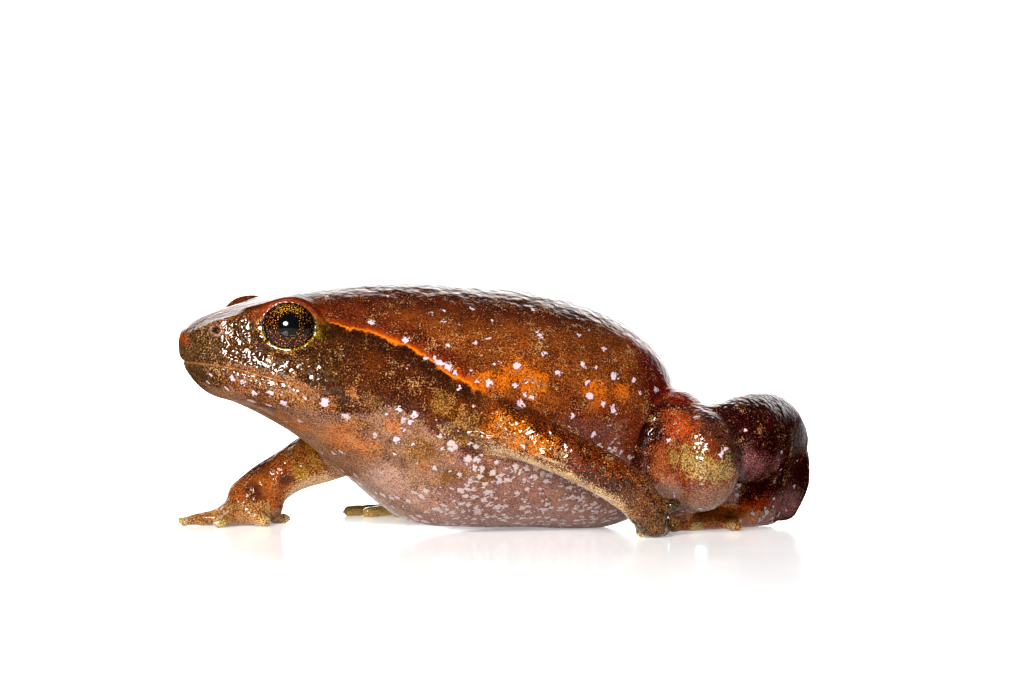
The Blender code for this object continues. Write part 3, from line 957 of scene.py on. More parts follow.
RIGHT_LEG = Leg(
    side=Side.RIGHT,
    thigh=((29.4, 1.5, 6.7, 2.8, 2.9), (24.8, 6.6, 5.8, 2.8, 3.0), (20.9, 10.4, 4.7, 2.2, 2.7)),
    shank=(
        (22.2, 11.2, 4.4, 1.8, 2.1),
        (24.6, 11.2, 4.4, 2.1, 2.4),
        (27.4, 10.4, 3.8, 1.95, 2.2),
        (30.0, 9.1, 2.9, 1.35, 1.6),
    ),
    tarsus=((30.7, 9.5, 2.0, 1.3, 1.5), (29.6, 11.3, 1.35, 1.25, 1.3), (27.6, 12.5, 1.05, 1.2, 1.1)),
    sole=((26.8, 12.8, 1.0, 1.15, 1.0), (24.4, 13.2, 0.75, 1.25, 0.75), (22.2, 13.3, 0.56, 1.4, 0.62)),
    toes=(
        Digit(((22.8, 12.6, 0.6), (21.6, 11.9, 0.45), (20.7, 11.4, TIP))),
        Digit(((22.3, 12.8, 0.6), (20.1, 12.1, 0.45), (18.4, 11.6, TIP))),
        Digit(((22.0, 13.1, 0.6), (19.2, 12.9, 0.45), (16.7, 12.7, TIP))),
        Digit(((21.9, 13.5, 0.6), (18.9, 14.0, 0.45), (15.9, 14.3, TIP))),
        Digit(((22.1, 13.9, 0.6), (20.1, 14.9, 0.45), (18.5, 15.55, TIP))),
    ),
    fold=((23.6, 10.6, 3.2, 1.4, 1.4), (26.2, 10.4, 2.9, 1.4, 1.4), (28.8, 9.8, 2.4, 1.2, 1.3)),
)


@dataclass(frozen=True)
class Eye:
    """An eyeball and the opening between its lids."""

    side: Side
    centre: tuple[float, float, float] = (6.22, 4.00, 12.78)
    axis: tuple[float, float, float] = (-0.30, 0.93, 0.16)
    radius: float = 1.70
    open_wide: float = 1.53  # half the opening's length
    open_high: float = 1.33
    brow_radius: float = 1.98
    brow_sink: float = 0.70
    rim: float = 0.13  # how far the lids' edge stands over the ball
    pupil: float = 0.62
    bulge: float = 0.07  # how far the cornea stands over the ball

    def frame(self) -> tuple[Array, Array, Array, Array]:
        """Measures how the eye stands.

        Returns:
            Its centre, and the ways that it looks, that points to the rump, and that points up.
        """
        mirror = np.array((1, self.side.value, 1))
        look = np.array(self.axis) / np.linalg.norm(self.axis) * mirror
        back = np.cross((0.0, 0.0, 1.0), look) * -self.side.value
        back /= np.linalg.norm(back)
        up = np.cross(look, back)
        up *= np.sign(up[2])
        return np.array(self.centre) * mirror, look, back, up

    def measured(self, points: Array) -> tuple[Array, ...]:
        """Points seen from the eye.

        Args:
            points: The points.

        Returns:
            How far each lies along the look, towards the rump and up, and its place over the opening, which
            is 0 in its middle and 1 on its edge.
        """
        centre, look, back, up = self.frame()
        from_centre = points - centre
        out, along, high = from_centre @ look, from_centre @ back, from_centre @ up
        return out, along, high, np.hypot(along / self.open_wide, high / self.open_high)

    def shape_lids(self, points: Array) -> Array:
        """Fits the skin round the eye: sunk behind the ball in the opening, raised to a rim round it.

        Args:
            points: The skin's points.

        Returns:
            The points, moved along the eye's look.
        """
        out, along, high, place = self.measured(points)
        _, look, _, _ = self.frame()
        near = (out > -1.2) & (place < 2.2)
        spread = np.hypot(along, high)
        rim_at = spread / np.maximum(place, 1e-6)
        ball = np.sqrt(np.maximum(self.radius**2 - np.minimum(spread, self.radius) ** 2, 0.0))
        edge = np.sqrt(np.maximum(self.radius**2 - (rim_at * 1.04) ** 2, 0.02))
        raised = edge + self.rim
        follow = ramp(place, 1.55, 1.10)
        lifted = out + (raised - out) * follow
        sunk = ball - 0.5 * ramp(place, 1.0, 0.82) - 0.02
        target = np.where(place < 1.04, sunk + (lifted - sunk) * ramp(place, 0.99, 1.05), lifted)
        moved = np.where(near, target, out)
        return points + np.outer(moved - out, look)

    def build(self, finish: Material) -> Object:
        """The eyeball as its own piece, with its cornea bulging a little.

        Args:
            finish: Its material.

        Returns:
            The piece.
        """
        centre, look, back, up = self.frame()
        steps, around, outside = 72, 96, 9.0
        turns = np.linspace(0, math.pi, steps)
        angles = np.arange(around) * 2 * math.pi / around
        rows, spreads, headings = [], [], []
        for turn in turns[1:-1]:
            spread = self.radius * math.sin(turn)
            bulge = self.bulge * float(hill(np.array(spread), 1.0)) if turn < math.pi / 2 else 0.0
            ring = np.outer(np.cos(angles) * spread, back) + np.outer(np.sin(angles) * spread, up)
            rows.append(centre + ring + look * (self.radius * math.cos(turn) + bulge))
            spreads.append(np.full(around, spread if turn < math.pi / 2 else outside))
            headings.append(angles)
        poles = centre + look * (self.radius + self.bulge), centre - look * self.radius
        points = np.concatenate([*rows, poles])
        spread = np.concatenate([*spreads, [0.0, outside]])
        heading = np.concatenate([*headings, [0.0, 0.0]])
        faces = []
        for i in range(len(rows) - 1):
            for j in range(around):
                k = (j + 1) % around
                faces.append((i * around + j, (i + 1) * around + j, (i + 1) * around + k, i * around + k))
        last = (len(rows) - 1) * around
        for j in range(around):
            k = (j + 1) % around
            faces.append((len(points) - 2, j, k))
            faces.append((len(points) - 1, last + k, last + j))
        mesh = bpy.data.meshes.new(f"{self.side.name.lower()}_eyeball")
        mesh.from_pydata(in_metres(points).tolist(), [], faces)
        shape = bmesh.new()
        shape.from_mesh(mesh)
        bmesh.ops.recalc_face_normals(shape, faces=shape.faces)
        shape.to_mesh(mesh)
        shape.free()
        mesh.shade_smooth()
        put_values(mesh, "iris_across", spread * np.cos(heading))
        put_values(mesh, "iris_up", spread * np.sin(heading))
        put_values(mesh, "pupil", ramp(spread, self.pupil + 0.05, self.pupil - 0.03))
        upward, rearward = np.sin(heading), np.cos(heading)
        iris = ramp(spread, 0.66, 0.85) * ramp(spread, 1.50, 1.25)
        crown = ramp(upward, 0.35, 0.9) * iris
        foot = ramp(upward, -0.2, -0.7) * iris
        front = ramp(rearward, 0.3, -0.6) * iris
        put_values(mesh, "iris_gold", crown * 0.68)
        put_values(mesh, "iris_orange", np.maximum(0.74 * foot, 0.62 * front) * 0.66)
        mesh.materials.append(finish)
        return linked(f"{self.side.name.lower()}_eyeball", mesh)


@dataclass(frozen=True)
class Mouth:
    """The mouth's line, as height over place along the head, with the lips that border it."""

    line: Rows = (
        (-1.0, 10.80), (1.0, 10.68), (2.7, 10.42), (4.4, 9.95), (6.2, 9.42), (7.2, 8.95),
    )
    corner_x: float = 7.0
    depth: float = 0.10
    width: float = 0.09
    lip: float = 0.04

    def reach(self, points: Array) -> tuple[Array, Array]:
        """How far above the line each point lies, and whether it is in front of the corner, from 0 to 1."""
        height = points[:, 2] - Trunk.height_of(self.line, points[:, 0])
        return height, ramp(points[:, 0], self.corner_x + 0.25, self.corner_x - 0.35)

    def shape(self, points: Array, normals: Array) -> Array:
        """Sinks the seam and swells the lips on both sides of it.

        Args:
            points: The skin's points.
            normals: The way that each faces.

        Returns:
            The moved points.
        """
        height, there = self.reach(points)
        seam = -self.depth * hill(height, self.width)
        lips = self.lip * (hill(height - 0.42, 0.26) + 0.8 * hill(height + 0.42, 0.26))
        return points + normals * ((seam + lips) * there)[:, None]


@dataclass(frozen=True)
class Nostril:
    """One nostril: a small pit with a raised rim."""

    side: Side
    along: float = 2.08
    high: float = 12.68
    radius: float = 0.15
    depth: float = 0.28
    rim: float = 0.07

    def away(self, points: Array) -> Array:
        """How far each point of the head's side lies from the pit."""
        away = np.hypot(points[:, 0] - self.along, points[:, 2] - self.high)
        return np.where(points[:, 1] * self.side.value > 0.8, away, 9.0)

    def shape(self, points: Array, normals: Array) -> Array:
        """Sinks the pit and raises its rim."""
        away = self.away(points)
        move = self.rim * hill(away - 0.28, 0.10) - self.depth * hill(away, self.radius)
        return points + normals * move[:, None]


@dataclass(frozen=True)
class Ridge:
    """A ridge of skin, or a groove where its height is negative, along a line that both sides have."""

    line: Rows
    height: float
    width: float

    def shape(self, points: Array, normals: Array) -> Array:
        """Raises the skin along the ridge.

        Args:
            points: The skin's points.
            normals: The way that each faces.

        Returns:
            The moved points.
        """
        away, place = line_distance(to_left(points), smooth_rows(self.line, 60))
        fade = ramp(place, -0.001, 0.12) * ramp(place, 1.001, 0.88)
        return points + normals * (self.height * hill(away, self.width) * fade)[:, None]


ARM_FOLDS = (
    Ridge(((15.6, -7.4, 6.8), (16.2, -7.9, 6.4), (16.9, -8.2, 6.35), (17.8, -8.7, 6.05)), 0.22, 0.16),
    Ridge(((18.0, -9.0, 6.9), (18.8, -9.5, 6.45), (19.6, -9.8, 6.1)), 0.08, 0.14),
    Ridge(((19.8, -9.8, 5.5), (20.8, -10.2, 5.05), (21.8, -10.4, 4.7)), 0.20, 0.15),
)
RIDGES = (
    *ARM_FOLDS,
    Ridge(
        ((0.8, -1.3, 12.5), (1.25, -1.9, 12.8), (2.2, -2.4, 13.15), (3.4, -3.0, 13.6), (4.7, -3.5, 14.0)),
        0.08,
        0.30,
    ),
    Ridge(((2.4, -2.9, 12.0), (3.2, -3.4, 12.0), (4.1, -3.9, 12.0)), -0.13, 0.75),
    Ridge(((7.7, -5.0, 13.3), (9.4, -5.0, 12.95), (11.2, -5.5, 12.5), (12.6, -5.9, 11.95)), 0.07, 0.30),
    Ridge(((7.9, -5.4, 11.9), (9.2, -5.7, 10.7), (10.0, -5.9, 9.4), (10.2, -5.8, 8.0)), -0.07, 0.5),
    Ridge(((8.8, -3.9, 6.2), (10.6, -5.4, 6.0), (12.4, -6.3, 5.6), (14.0, -6.6, 5.0)), -0.10, 0.55),
    Ridge(((10.6, -4.0, 4.4), (12.5, -5.2, 4.1), (14.4, -5.9, 3.8), (16.2, -6.2, 3.6)), -0.08, 0.5),
)


def cover_of(points: Array, places: Rows) -> Array:
    """How much round places cover each point.

    Args:
        points: The points.
        places: x, y, z and radius of each place, and its strength where that isn't 1.

    Returns:
        The most that any place covers each point: its strength in its middle, half of that at its radius.
    """
    covers = []
    for x, y, z, radius, *strength in places:
        away = np.linalg.norm(points - (x, y, z), axis=1)
        covers.append(np.exp2(-((away / radius) ** 2)) * (strength[0] if strength else 1.0))
    return np.max(covers, axis=0)


# Where the patches of colour lie: balls of x, y, z and radius, each with a strength where that isn't 1.
# Those of the body are the same on both sides.
BODY_PLACES: dict[str, Rows] = {
    "orange": (
        (19.4, -7.8, 10.1, 0.9), (21.0, -7.8, 9.7, 0.9), (20.2, -7.9, 9.2, 0.8), (17.7, -7.6, 9.6, 0.7),
        (18.7, -7.6, 9.5, 0.6), (15.8, -7.0, 10.1, 0.4), (16.7, -7.4, 9.6, 0.5), (24.4, -8.0, 8.6, 0.9),
        (24.9, -8.1, 7.9, 0.8), (26.3, -7.7, 8.9, 0.7),
    ),
    "dark": (
        (22.2, -8.0, 8.9, 0.8), (21.9, -7.9, 9.4, 0.5), (23.1, -8.1, 8.4, 0.8), (23.3, -8.2, 7.4, 0.8),
        (22.2, -8.2, 7.6, 0.8), (21.2, -8.2, 7.3, 0.7), (25.9, -7.6, 9.9, 0.6),
    ),
    # Paler throat and belly front: partly paler skin, partly a painted sheen that stands in for its glassy
    # highlight.
    "throat_pale": (
        (4.2, -1.4, 8.0, 0.8), (5.6, -1.8, 7.6, 0.8), (12.0, -3.2, 3.9, 0.8),
    ),
    "dusk": (
        (25.4, -7.9, 6.6, 1.5), (23.4, -8.1, 6.4, 1.1), (27.2, -7.4, 6.0, 1.5),
    ),
    "gold": (
        (14.9, -7.1, 8.2, 0.6), (16.1, -7.6, 7.0, 0.8), (14.1, -6.4, 5.3, 0.8), (15.9, -6.1, 3.8, 0.6),
        (17.9, -6.7, 3.9, 0.6), (10.9, -6.0, 8.3, 0.5), (17.6, -8.3, 5.7, 0.8),
    ),
    "chest_dark": (
        (12.0, -5.6, 6.0, 0.7, 0.6), (11.9, -5.0, 5.1, 0.6, 0.6), (13.0, -5.2, 4.6, 0.6, 0.6),
        (10.6, -5.2, 6.9, 0.7, 0.6), (13.6, -6.3, 6.6, 0.6, 0.6),
    ),
    "rust": (
        (9.3, -3.9, 6.1, 1.2), (7.1, -2.4, 7.0, 1.1), (10.8, -4.8, 5.6, 0.9), (9.6, -4.8, 6.7, 0.8),
        (12.2, -6.3, 6.9, 0.6), (8.4, -5.4, 8.4, 0.5), (14.0, -6.2, 4.4, 0.5), (9.6, -5.8, 8.9, 0.3),
    ),
    "eye_tinge": (
        (8.0, -5.0, 13.1, 0.5), (7.7, -5.1, 12.6, 0.4),
    ),
    # The paler front of the belly: partly paler skin, partly a painted sheen of the highlights along its
    # folds.
    "pale": (
        (12.8, -3.5, 3.4, 1.3), (14.7, -3.9, 2.3, 1.2), (16.4, -4.2, 1.6, 1.0),
    ),
}
LIMB_PLACES: dict[str, tuple[str, Rows]] = {
    "far_gold": (
        "arm",
        (
            (11.7, 6.0, 4.6, 1.1), (10.6, 7.0, 3.4, 0.7), (13.0, 5.0, 4.6, 0.9),
        ),
    ),
    "arm_dark": (
        "arm",
        (
            (8.2, 9.0, 3.3, 1.0), (7.6, 8.1, 2.0, 0.8), (12.2, 6.6, 5.4, 0.9), (9.6, 7.7, 3.0, 0.5),
        ),
    ),
    "arm_orange": (
        "arm",
        (
            (17.5, -8.7, 7.0, 1.2), (18.8, -9.3, 6.3, 1.0), (20.0, -9.9, 5.7, 0.7),
            (21.0, -10.0, 5.9, 0.5), (22.7, -10.3, 4.9, 0.4), (24.2, -10.6, 4.0, 0.4),
            (10.6, 7.6, 4.6, 0.9, 0.8),
        ),
    ),
    "knee_amber": (
        "leg",
        (
            (28.6, -8.3, 4.3, 0.9), (29.0, -8.7, 3.4, 0.7),
        ),
    ),
    "leg_dusk": (
        "leg",
        (
            (31.4, -10.9, 6.8, 1.1), (32.1, -11.2, 5.4, 1.0),
        ),
    ),
    "heel": (
        "leg",
        (
            (39.2, -4.0, 1.4, 1.1), (38.0, -4.6, 1.2, 0.9),
        ),
    ),
    "leg_red": (
        "leg",
        (
            (29.4, -9.2, 6.7, 0.8), (29.9, -9.8, 6.3, 0.5), (36.0, -4.6, 2.3, 0.8),
            (35.2, -4.6, 2.1, 0.6), (21.4, 12.0, 6.6, 1.6),
        ),
    ),
    "leg_gold": (
        "leg",
        (
            (28.9, -9.8, 4.8, 0.6), (29.5, -10.4, 4.7, 0.8), (30.3, -11.1, 4.5, 0.9),
            (31.3, -11.3, 4.1, 0.8), (20.6, 12.6, 4.4, 1.8),
        ),
    ),
    "leg_plum": (
        "leg",
        (
            (34.6, -9.3, 4.2, 0.9), (33.6, -9.8, 4.5, 0.8), (35.8, -8.4, 4.6, 0.8),
        ),
    ),
}
FOOT_RED: Rows = ((36.4, -4.7, 1.8, 0.8), (35.4, -4.9, 1.5, 0.9), (34.4, -5.1, 1.3, 0.6))
FINGER_BALL: Rows = ((28.75, -10.2, 1.98, 0.75),)
DRY_SHOULDER: Rows = ((15.5, -7.3, 8.3, 0.9), (16.9, -8.4, 7.5, 0.7), (17.9, -8.9, 7.1, 0.5))
PAD_RADIUS = 0.42  # of the paler pad at each finger's and toe's tip
# The line along each side.
SIDE_LINE: Rows = (
    (7.3, -5.0, 13.75), (7.87, -4.8, 13.4), (9.45, -5.0, 12.92), (11.16, -5.5, 12.5), (12.6, -5.9, 11.93),
    (14.3, -6.6, 10.98), (15.7, -7.1, 9.93), (16.9, -7.5, 9.2), (17.9, -7.8, 8.65),
)
# The large pale spots: x, y, z and radius. The right side has those of the left.
PALE_SPOTS: Rows = (
    (1.9, -2.3, 10.1, 0.13), (3.0, -3.2, 9.8, 0.14), (2.0, -1.5, 9.6, 0.13), (3.6, -3.5, 9.6, 0.13),
    (3.0, -2.7, 9.4, 0.12), (4.3, -3.7, 9.2, 0.22), (5.1, -4.1, 9.1, 0.20), (5.9, -4.3, 8.7, 0.24),
    (8.0, -5.3, 8.4, 0.26), (5.2, -3.4, 8.4, 0.17), (11.2, -4.9, 13.1, 0.22), (13.1, -5.8, 12.1, 0.24),
    (14.7, -6.5, 11.0, 0.15), (15.0, -6.7, 10.7, 0.22), (15.4, -6.9, 10.4, 0.24),
    (15.8, -7.0, 10.1, 0.17), (15.6, -5.4, 13.1, 0.15), (18.8, -5.6, 13.1, 0.15),
    (21.4, -6.4, 12.2, 0.22), (24.1, -6.1, 12.3, 0.14), (28.7, -4.5, 11.7, 0.18),
    (17.3, -6.5, 11.9, 0.13), (15.6, -6.3, 11.7, 0.13), (19.6, -7.4, 10.5, 0.23),
    (18.1, -7.3, 10.5, 0.12), (22.1, -7.7, 10.1, 0.23), (23.8, -7.4, 10.4, 0.18),
    (26.0, -7.4, 9.8, 0.26), (27.3, -7.1, 9.4, 0.19), (17.1, -7.4, 9.5, 0.14), (17.8, -7.5, 9.4, 0.24),
    (20.1, -7.8, 9.4, 0.14), (19.3, -7.8, 9.2, 0.17), (29.1, -6.5, 8.8, 0.19), (30.1, -5.8, 8.7, 0.15),
    (24.1, -8.0, 8.6, 0.23), (20.4, -8.0, 8.5, 0.15), (19.7, -8.0, 8.1, 0.27), (25.1, -8.0, 8.1, 0.14),
    (25.7, -7.9, 7.6, 0.19), (22.8, -8.2, 7.3, 0.18), (12.3, -6.5, 7.8, 0.19), (13.3, -6.7, 7.7, 0.22),
    (13.1, -6.6, 7.1, 0.17), (12.4, -5.9, 6.0, 0.24), (24.3, -8.1, 6.3, 0.16), (33.4, -10.1, 6.4, 0.15),
    (31.8, -11.4, 5.5, 0.17), (31.4, -11.5, 5.0, 0.18), (29.0, -8.9, 5.9, 0.19),
    (28.9, -8.3, 4.0, 0.18),
)


@dataclass(frozen=True)
class Grain:
    """The skin's coarse relief, laid on by Geometry Nodes: soft warts and creases."""

    pitch: float = 0.95
    height: float = 0.10
    seed: float = 3.0

    def tree(self, finish: Material) -> tuple[NodeTree, dict[str, str]]:
        """Builds the node tree.

        Args:
            finish: The material that the skin gets.

        Returns:
            The tree, and the identifier of each of its inputs.
        """
        tree = bpy.data.node_groups.new("skin_grain", "GeometryNodeTree")
        names = {}
        for name, kind, value in (
            ("Geometry", "NodeSocketGeometry", None),
            ("Pitch", "NodeSocketFloat", self.pitch * MM),
            ("Height", "NodeSocketFloat", self.height * MM),
            ("Seed", "NodeSocketFloat", self.seed),
            ("Finish", "NodeSocketMaterial", finish),
        ):
            socket = tree.interface.new_socket(name, in_out="INPUT", socket_type=kind)
            if value is not None:
                socket.default_value = value
            names[name] = socket.identifier
        tree.interface.new_socket("Geometry", in_out="OUTPUT", socket_type="NodeSocketGeometry")
        add = partial(add_node, tree)
        given = add("NodeGroupInput").outputs
        place = add("GeometryNodeInputPosition").outputs[0]
        scale = add(MATH, {0: 1.0, 1: given["Pitch"]}, operation="DIVIDE").outputs[0]
        waves = add(
            NOISE,
            {"Vector": place, "W": given["Seed"], "Scale": scale, "Detail": 2.0, "Roughness": 0.5},
            noise_dimensions="4D",
        ).outputs[0]
        centred = add(MATH, {0: waves, 1: 0.5}, operation="SUBTRACT").outputs[0]
        grain = add("GeometryNodeInputNamedAttribute", {"Name": "warts"}, data_type="FLOAT").outputs[0]
        height = add(MATH, {0: centred, 1: given["Height"]}, operation="MULTIPLY").outputs[0]
        height = add(MATH, {0: height, 1: grain}, operation="MULTIPLY").outputs[0]
        normal = add("GeometryNodeInputNormal").outputs[0]
        offset = add(VECTOR_MATH, {0: normal, "Scale": height}, operation="SCALE").outputs[0]
        moved = add("GeometryNodeSetPosition", {"Geometry": given["Geometry"], "Offset": offset}).outputs[0]
        real = add("GeometryNodeRealizeInstances", {"Geometry": moved}).outputs[0]
        dressed = add("GeometryNodeSetMaterial", {"Geometry": real, "Material": given["Finish"]}).outputs[0]
        add("NodeGroupOutput", {"Geometry": dressed})
        return tree, names

    def lay_on(self, target: Object, finish: Material) -> None:
        """Runs the tree on an object and keeps the result as its mesh.

        Args:
            target: The skin.
            finish: Its material.
        """
        tree, names = self.tree(finish)
        change = target.modifiers.new("grain", "NODES")
        change.node_group = tree
        change[names["Pitch"]] = self.pitch * MM
        change[names["Height"]] = self.height * MM
        change[names["Seed"]] = self.seed
        change[names["Finish"]] = finish
        settled(target)


@dataclass(frozen=True)
class Surface:
    """What is measured at each point of the skin, for its colours and its relief."""

    points: Array
    normals: Array
    limbs: dict[str, Array]  # how much of it belongs to each limb
    body: Array  # how much of it belongs to no limb
    over_line: Array  # height over the line along the side
    over_belly: Array  # height over the belly's edge
    over_mouth: Array  # height over the mouth's line
    by_mouth: Array  # 1 in front of the mouth's corner, 0 behind it

    @property
    def x(self) -> Array:
        """The place along the body."""
        return self.points[:, 0]

    @property
    def z(self) -> Array:
        """The height over the floor."""
        return self.points[:, 2]

    @property
    def right(self) -> Array:
        """1 on the right side and 0 on the left."""
        return (self.points[:, 1] > 0).astype(float)

    @property
    def under_side(self) -> Array:
        """How far the point belongs to the belly and the throat."""
        lower_edge = 0.9 * ramp(self.x, 12.5, 9.5) * ramp(self.x, 3.0, 5.0)
        return ramp(self.over_belly + lower_edge, 1.1, -0.9)

    @property
    def side(self) -> Array:
        """How far the point belongs to the dark side under the line."""
        return ramp(self.over_line, 0.15, -0.15) * ramp(self.x, 18.8, 16.0)

    @property
    def face(self) -> Array:
        """How far the point belongs to the face."""
        return ramp(self.x, 9.5, 7.5)

    @property
    def upward(self) -> Array:
        """How far the skin faces up."""
        return ramp(self.normals[:, 2], 0.45, 0.85)


@dataclass(frozen=True)
class FrogSkin:
    """The whole skin in one piece, from snout to toes."""

    trunk: Trunk
    arms: tuple[Arm, ...]
    legs: tuple[Leg, ...]
    eyes: tuple[Eye, ...]
    mouth: Mouth
    nostrils: tuple[Nostril, ...]
    grain: Grain
    voxel: float = 0.235
    even_rounds: int = 8  # how often the whole skin is evened out
    soft_rounds: int = 14  # how often the soft places are
    head_end: float = 8.4  # the place along the body up to which the skin's faces are finer
    # Where limbs and body run into each other softly: x, y, z and the radius of the place.
    soft_places: Rows = (
        (16.2, -6.8, 7.2, 2.8), (13.2, 6.2, 5.8, 2.6), (27.2, -9.9, 1.8, 1.8), (7.0, 8.8, 1.1, 1.2),
        (33.0, -5.0, 0.7, 2.2), (33.0, -8.8, 5.6, 1.6), (22.2, 13.2, 0.8, 1.7), (36.6, -4.4, 2.4, 2.4),
        (30.2, 8.8, 2.6, 1.8), (29.3, -7.9, 5.6, 1.6), (6.2, -3.6, 13.4, 2.2), (6.2, 3.6, 13.4, 2.2),
        (30.0, -2.0, 8.2, 2.6), (29.5, 3.0, 8.6, 3.0),
    )

    def build(self, finish: Material) -> Object:
        """Makes the skin.

        Args:
            finish: Its material.

        Returns:
            The piece.
        """
        shell = Shell()
        shell.loft(self.trunk.rings(), rests=True)
        for limb in (*self.arms, *self.legs):
            limb.add_to(shell)
        for eye in self.eyes:
            centre, look, _, _ = eye.frame()
            shell.ball(centre - look * eye.brow_sink, eye.brow_radius)
        skin = linked("skin", shell.mesh("skin"))
        change = skin.modifiers.new("union", "REMESH")
        change.mode = "VOXEL"
        change.voxel_size = self.voxel
        settled(skin)
        mesh = skin.data
        relax(mesh, np.ones(len(mesh.vertices)), self.even_rounds, keep_size=True)
        points = points_of(mesh)
        covers = [hill(np.linalg.norm(points - centre, axis=1), wide) for *centre, wide in self.soft_places]
        soft = np.max(covers, axis=0)
        relax(mesh, ramp(soft, 0.2, 0.7), self.soft_rounds, keep_size=False)
        self.refine_face(mesh)
        self.shape_face(mesh)
        self.rest_on_floor(mesh)
        put_points(mesh, in_metres(points_of(mesh)))
        self.mark(mesh)
        self.grain.lay_on(skin, finish)
        self.close(skin.data)
        return skin

    def refine_face(self, mesh: Mesh) -> None:
        """Gives the head finer faces, and the eyes, the lips and the nostrils the finest.

        Args:
            mesh: The skin.
        """
        points = points_of(mesh)
        refine(mesh, (points[:, 0] < self.head_end) | self.near_folds(points, 0.6))
        points = points_of(mesh)
        relax(mesh, (points[:, 0] < self.head_end + 0.2).astype(float), 3, keep_size=True)
        points = points_of(mesh)
        height, there = self.mouth.reach(points)
        fine = (np.abs(height) < 0.32) & (there > 0) | self.near_folds(points, 0.4)
        for eye in self.eyes:
            out, _, _, place = eye.measured(points)
            fine |= (out > -0.6) & (place > 0.85) & (place < 1.45)
        for nostril in self.nostrils:
            fine |= nostril.away(points) < 0.6
        refine(mesh, fine)

    @staticmethod
    def near_folds(points: Array, reach: float) -> Array:
        """Whether each point lies within reach of a fold on the left upper arm."""
        return np.min([line_distance(points, np.array(fold.line))[0] for fold in ARM_FOLDS], axis=0) < reach

    def shape_face(self, mesh: Mesh) -> None:
        """Moves the skin's points into the ridges, the lids, the mouth and the nostrils.

        Args:
            mesh: The skin.
        """
        for form in (*RIDGES, self.mouth, *self.nostrils):
            put_points(mesh, form.shape(points_of(mesh), normals_of(mesh)))
        points = points_of(mesh)
        for eye in self.eyes:
            points = eye.shape_lids(points)
        put_points(mesh, points)
        rims = np.zeros(len(points))
        for eye in self.eyes:
            out, _, _, place = eye.measured(points)
            rims = np.maximum(rims, (out > -0.8) * hill(place - 1.25, 0.25))
        relax(mesh, rims, 2, keep_size=True)

    def rest_on_floor(self, mesh: Mesh) -> None:
        """Presses everything that reaches below the floor flat on it."""
        points = points_of(mesh)
        points[:, 2] = np.maximum(points[:, 2], 0.0)
        put_points(mesh, points)

    def close(self, mesh: Mesh) -> None:
        """Presses the feet flat again, cuts all faces into triangles and shades them smooth.

        Args:
            mesh: The skin.
        """
        self.rest_on_floor(mesh)
        shape = bmesh.new()
        shape.from_mesh(mesh)
        bmesh.ops.triangulate(shape, faces=shape.faces)
        shape.to_mesh(mesh)
        shape.free()
        mesh.shade_smooth()

    def mark(self, mesh: Mesh) -> None:
        """Keeps on the skin's points where each patch, the line, the spots, the relief and the film lie.

        Args:
            mesh: The skin.
        """
        surface = self.measure(mesh)
        patches = (self.body_patches, self.limb_patches, self.line, self.face_marks, self.spots)
        for part in (*patches, self.relief, self.film):
            for name, values in part(surface).items():
                put_values(mesh, name, values)

    def measure(self, mesh: Mesh) -> Surface:
        """Measures the skin at all its points.

        Args:
            mesh: The skin.

        Returns:
            What is measured at each point.
        """
        points = points_of(mesh) / MM + ORIGIN
        limbs = self.limb_covers(points)
        over_mouth, by_mouth = self.mouth.reach(points)
        return Surface(
            points=points,
            normals=normals_of(mesh),
            limbs=limbs,
            body=1.0 - np.max([limbs[name] for name in ("arm", "leg", "foot", "hand")], axis=0),
            over_line=points[:, 2] - Trunk.height_of(self.trunk.upper_line, points[:, 0]),
            over_belly=points[:, 2] - Trunk.height_of(self.trunk.belly_line, points[:, 0]),
            over_mouth=over_mouth,
            by_mouth=by_mouth,
        )

    def body_patches(self, surface: Surface) -> dict[str, Array]:
        """Finds where each patch of colour of the head and the body lies.

        Args:
            surface: What is measured at the skin's points.

        Returns:
            How far each point lies in each patch.
        """
        x, body, over = surface.x, surface.body, surface.over_line
        near = to_left(surface.points)
        made = {name: body * cover_of(near, places) for name, places in BODY_PLACES.items()}
        lower_lip = ramp(surface.over_mouth, 0.7, 0.0) * ramp(x, 2.0, 3.2)
        return made | {
            "top": body * ramp(surface.normals[:, 2], 0.50, 0.95),
            "over_stripe": body * ramp(over, 0.1, 0.4) * ramp(over, 2.0, 1.0) * ramp(x, 18.5, 16.0),
            "rump": body * ramp(x, 26.5, 29.5),
            "side": body * surface.side,
            "face": body * surface.side * ramp(x, 12.5, 6.0),
            "snout": body * ramp(x, 2.9, 1.3),
            "snout_tip": body * 0.6 * ramp(x, 0.95, 0.65) * ramp(surface.z, 11.4, 12.0),
            "jaw": body * surface.side * ramp(x, 9.0, 6.6) * lower_lip,
            "belly": body * surface.under_side,
            "chest": body * surface.under_side * ramp(x, 17.0, 13.5),
        }

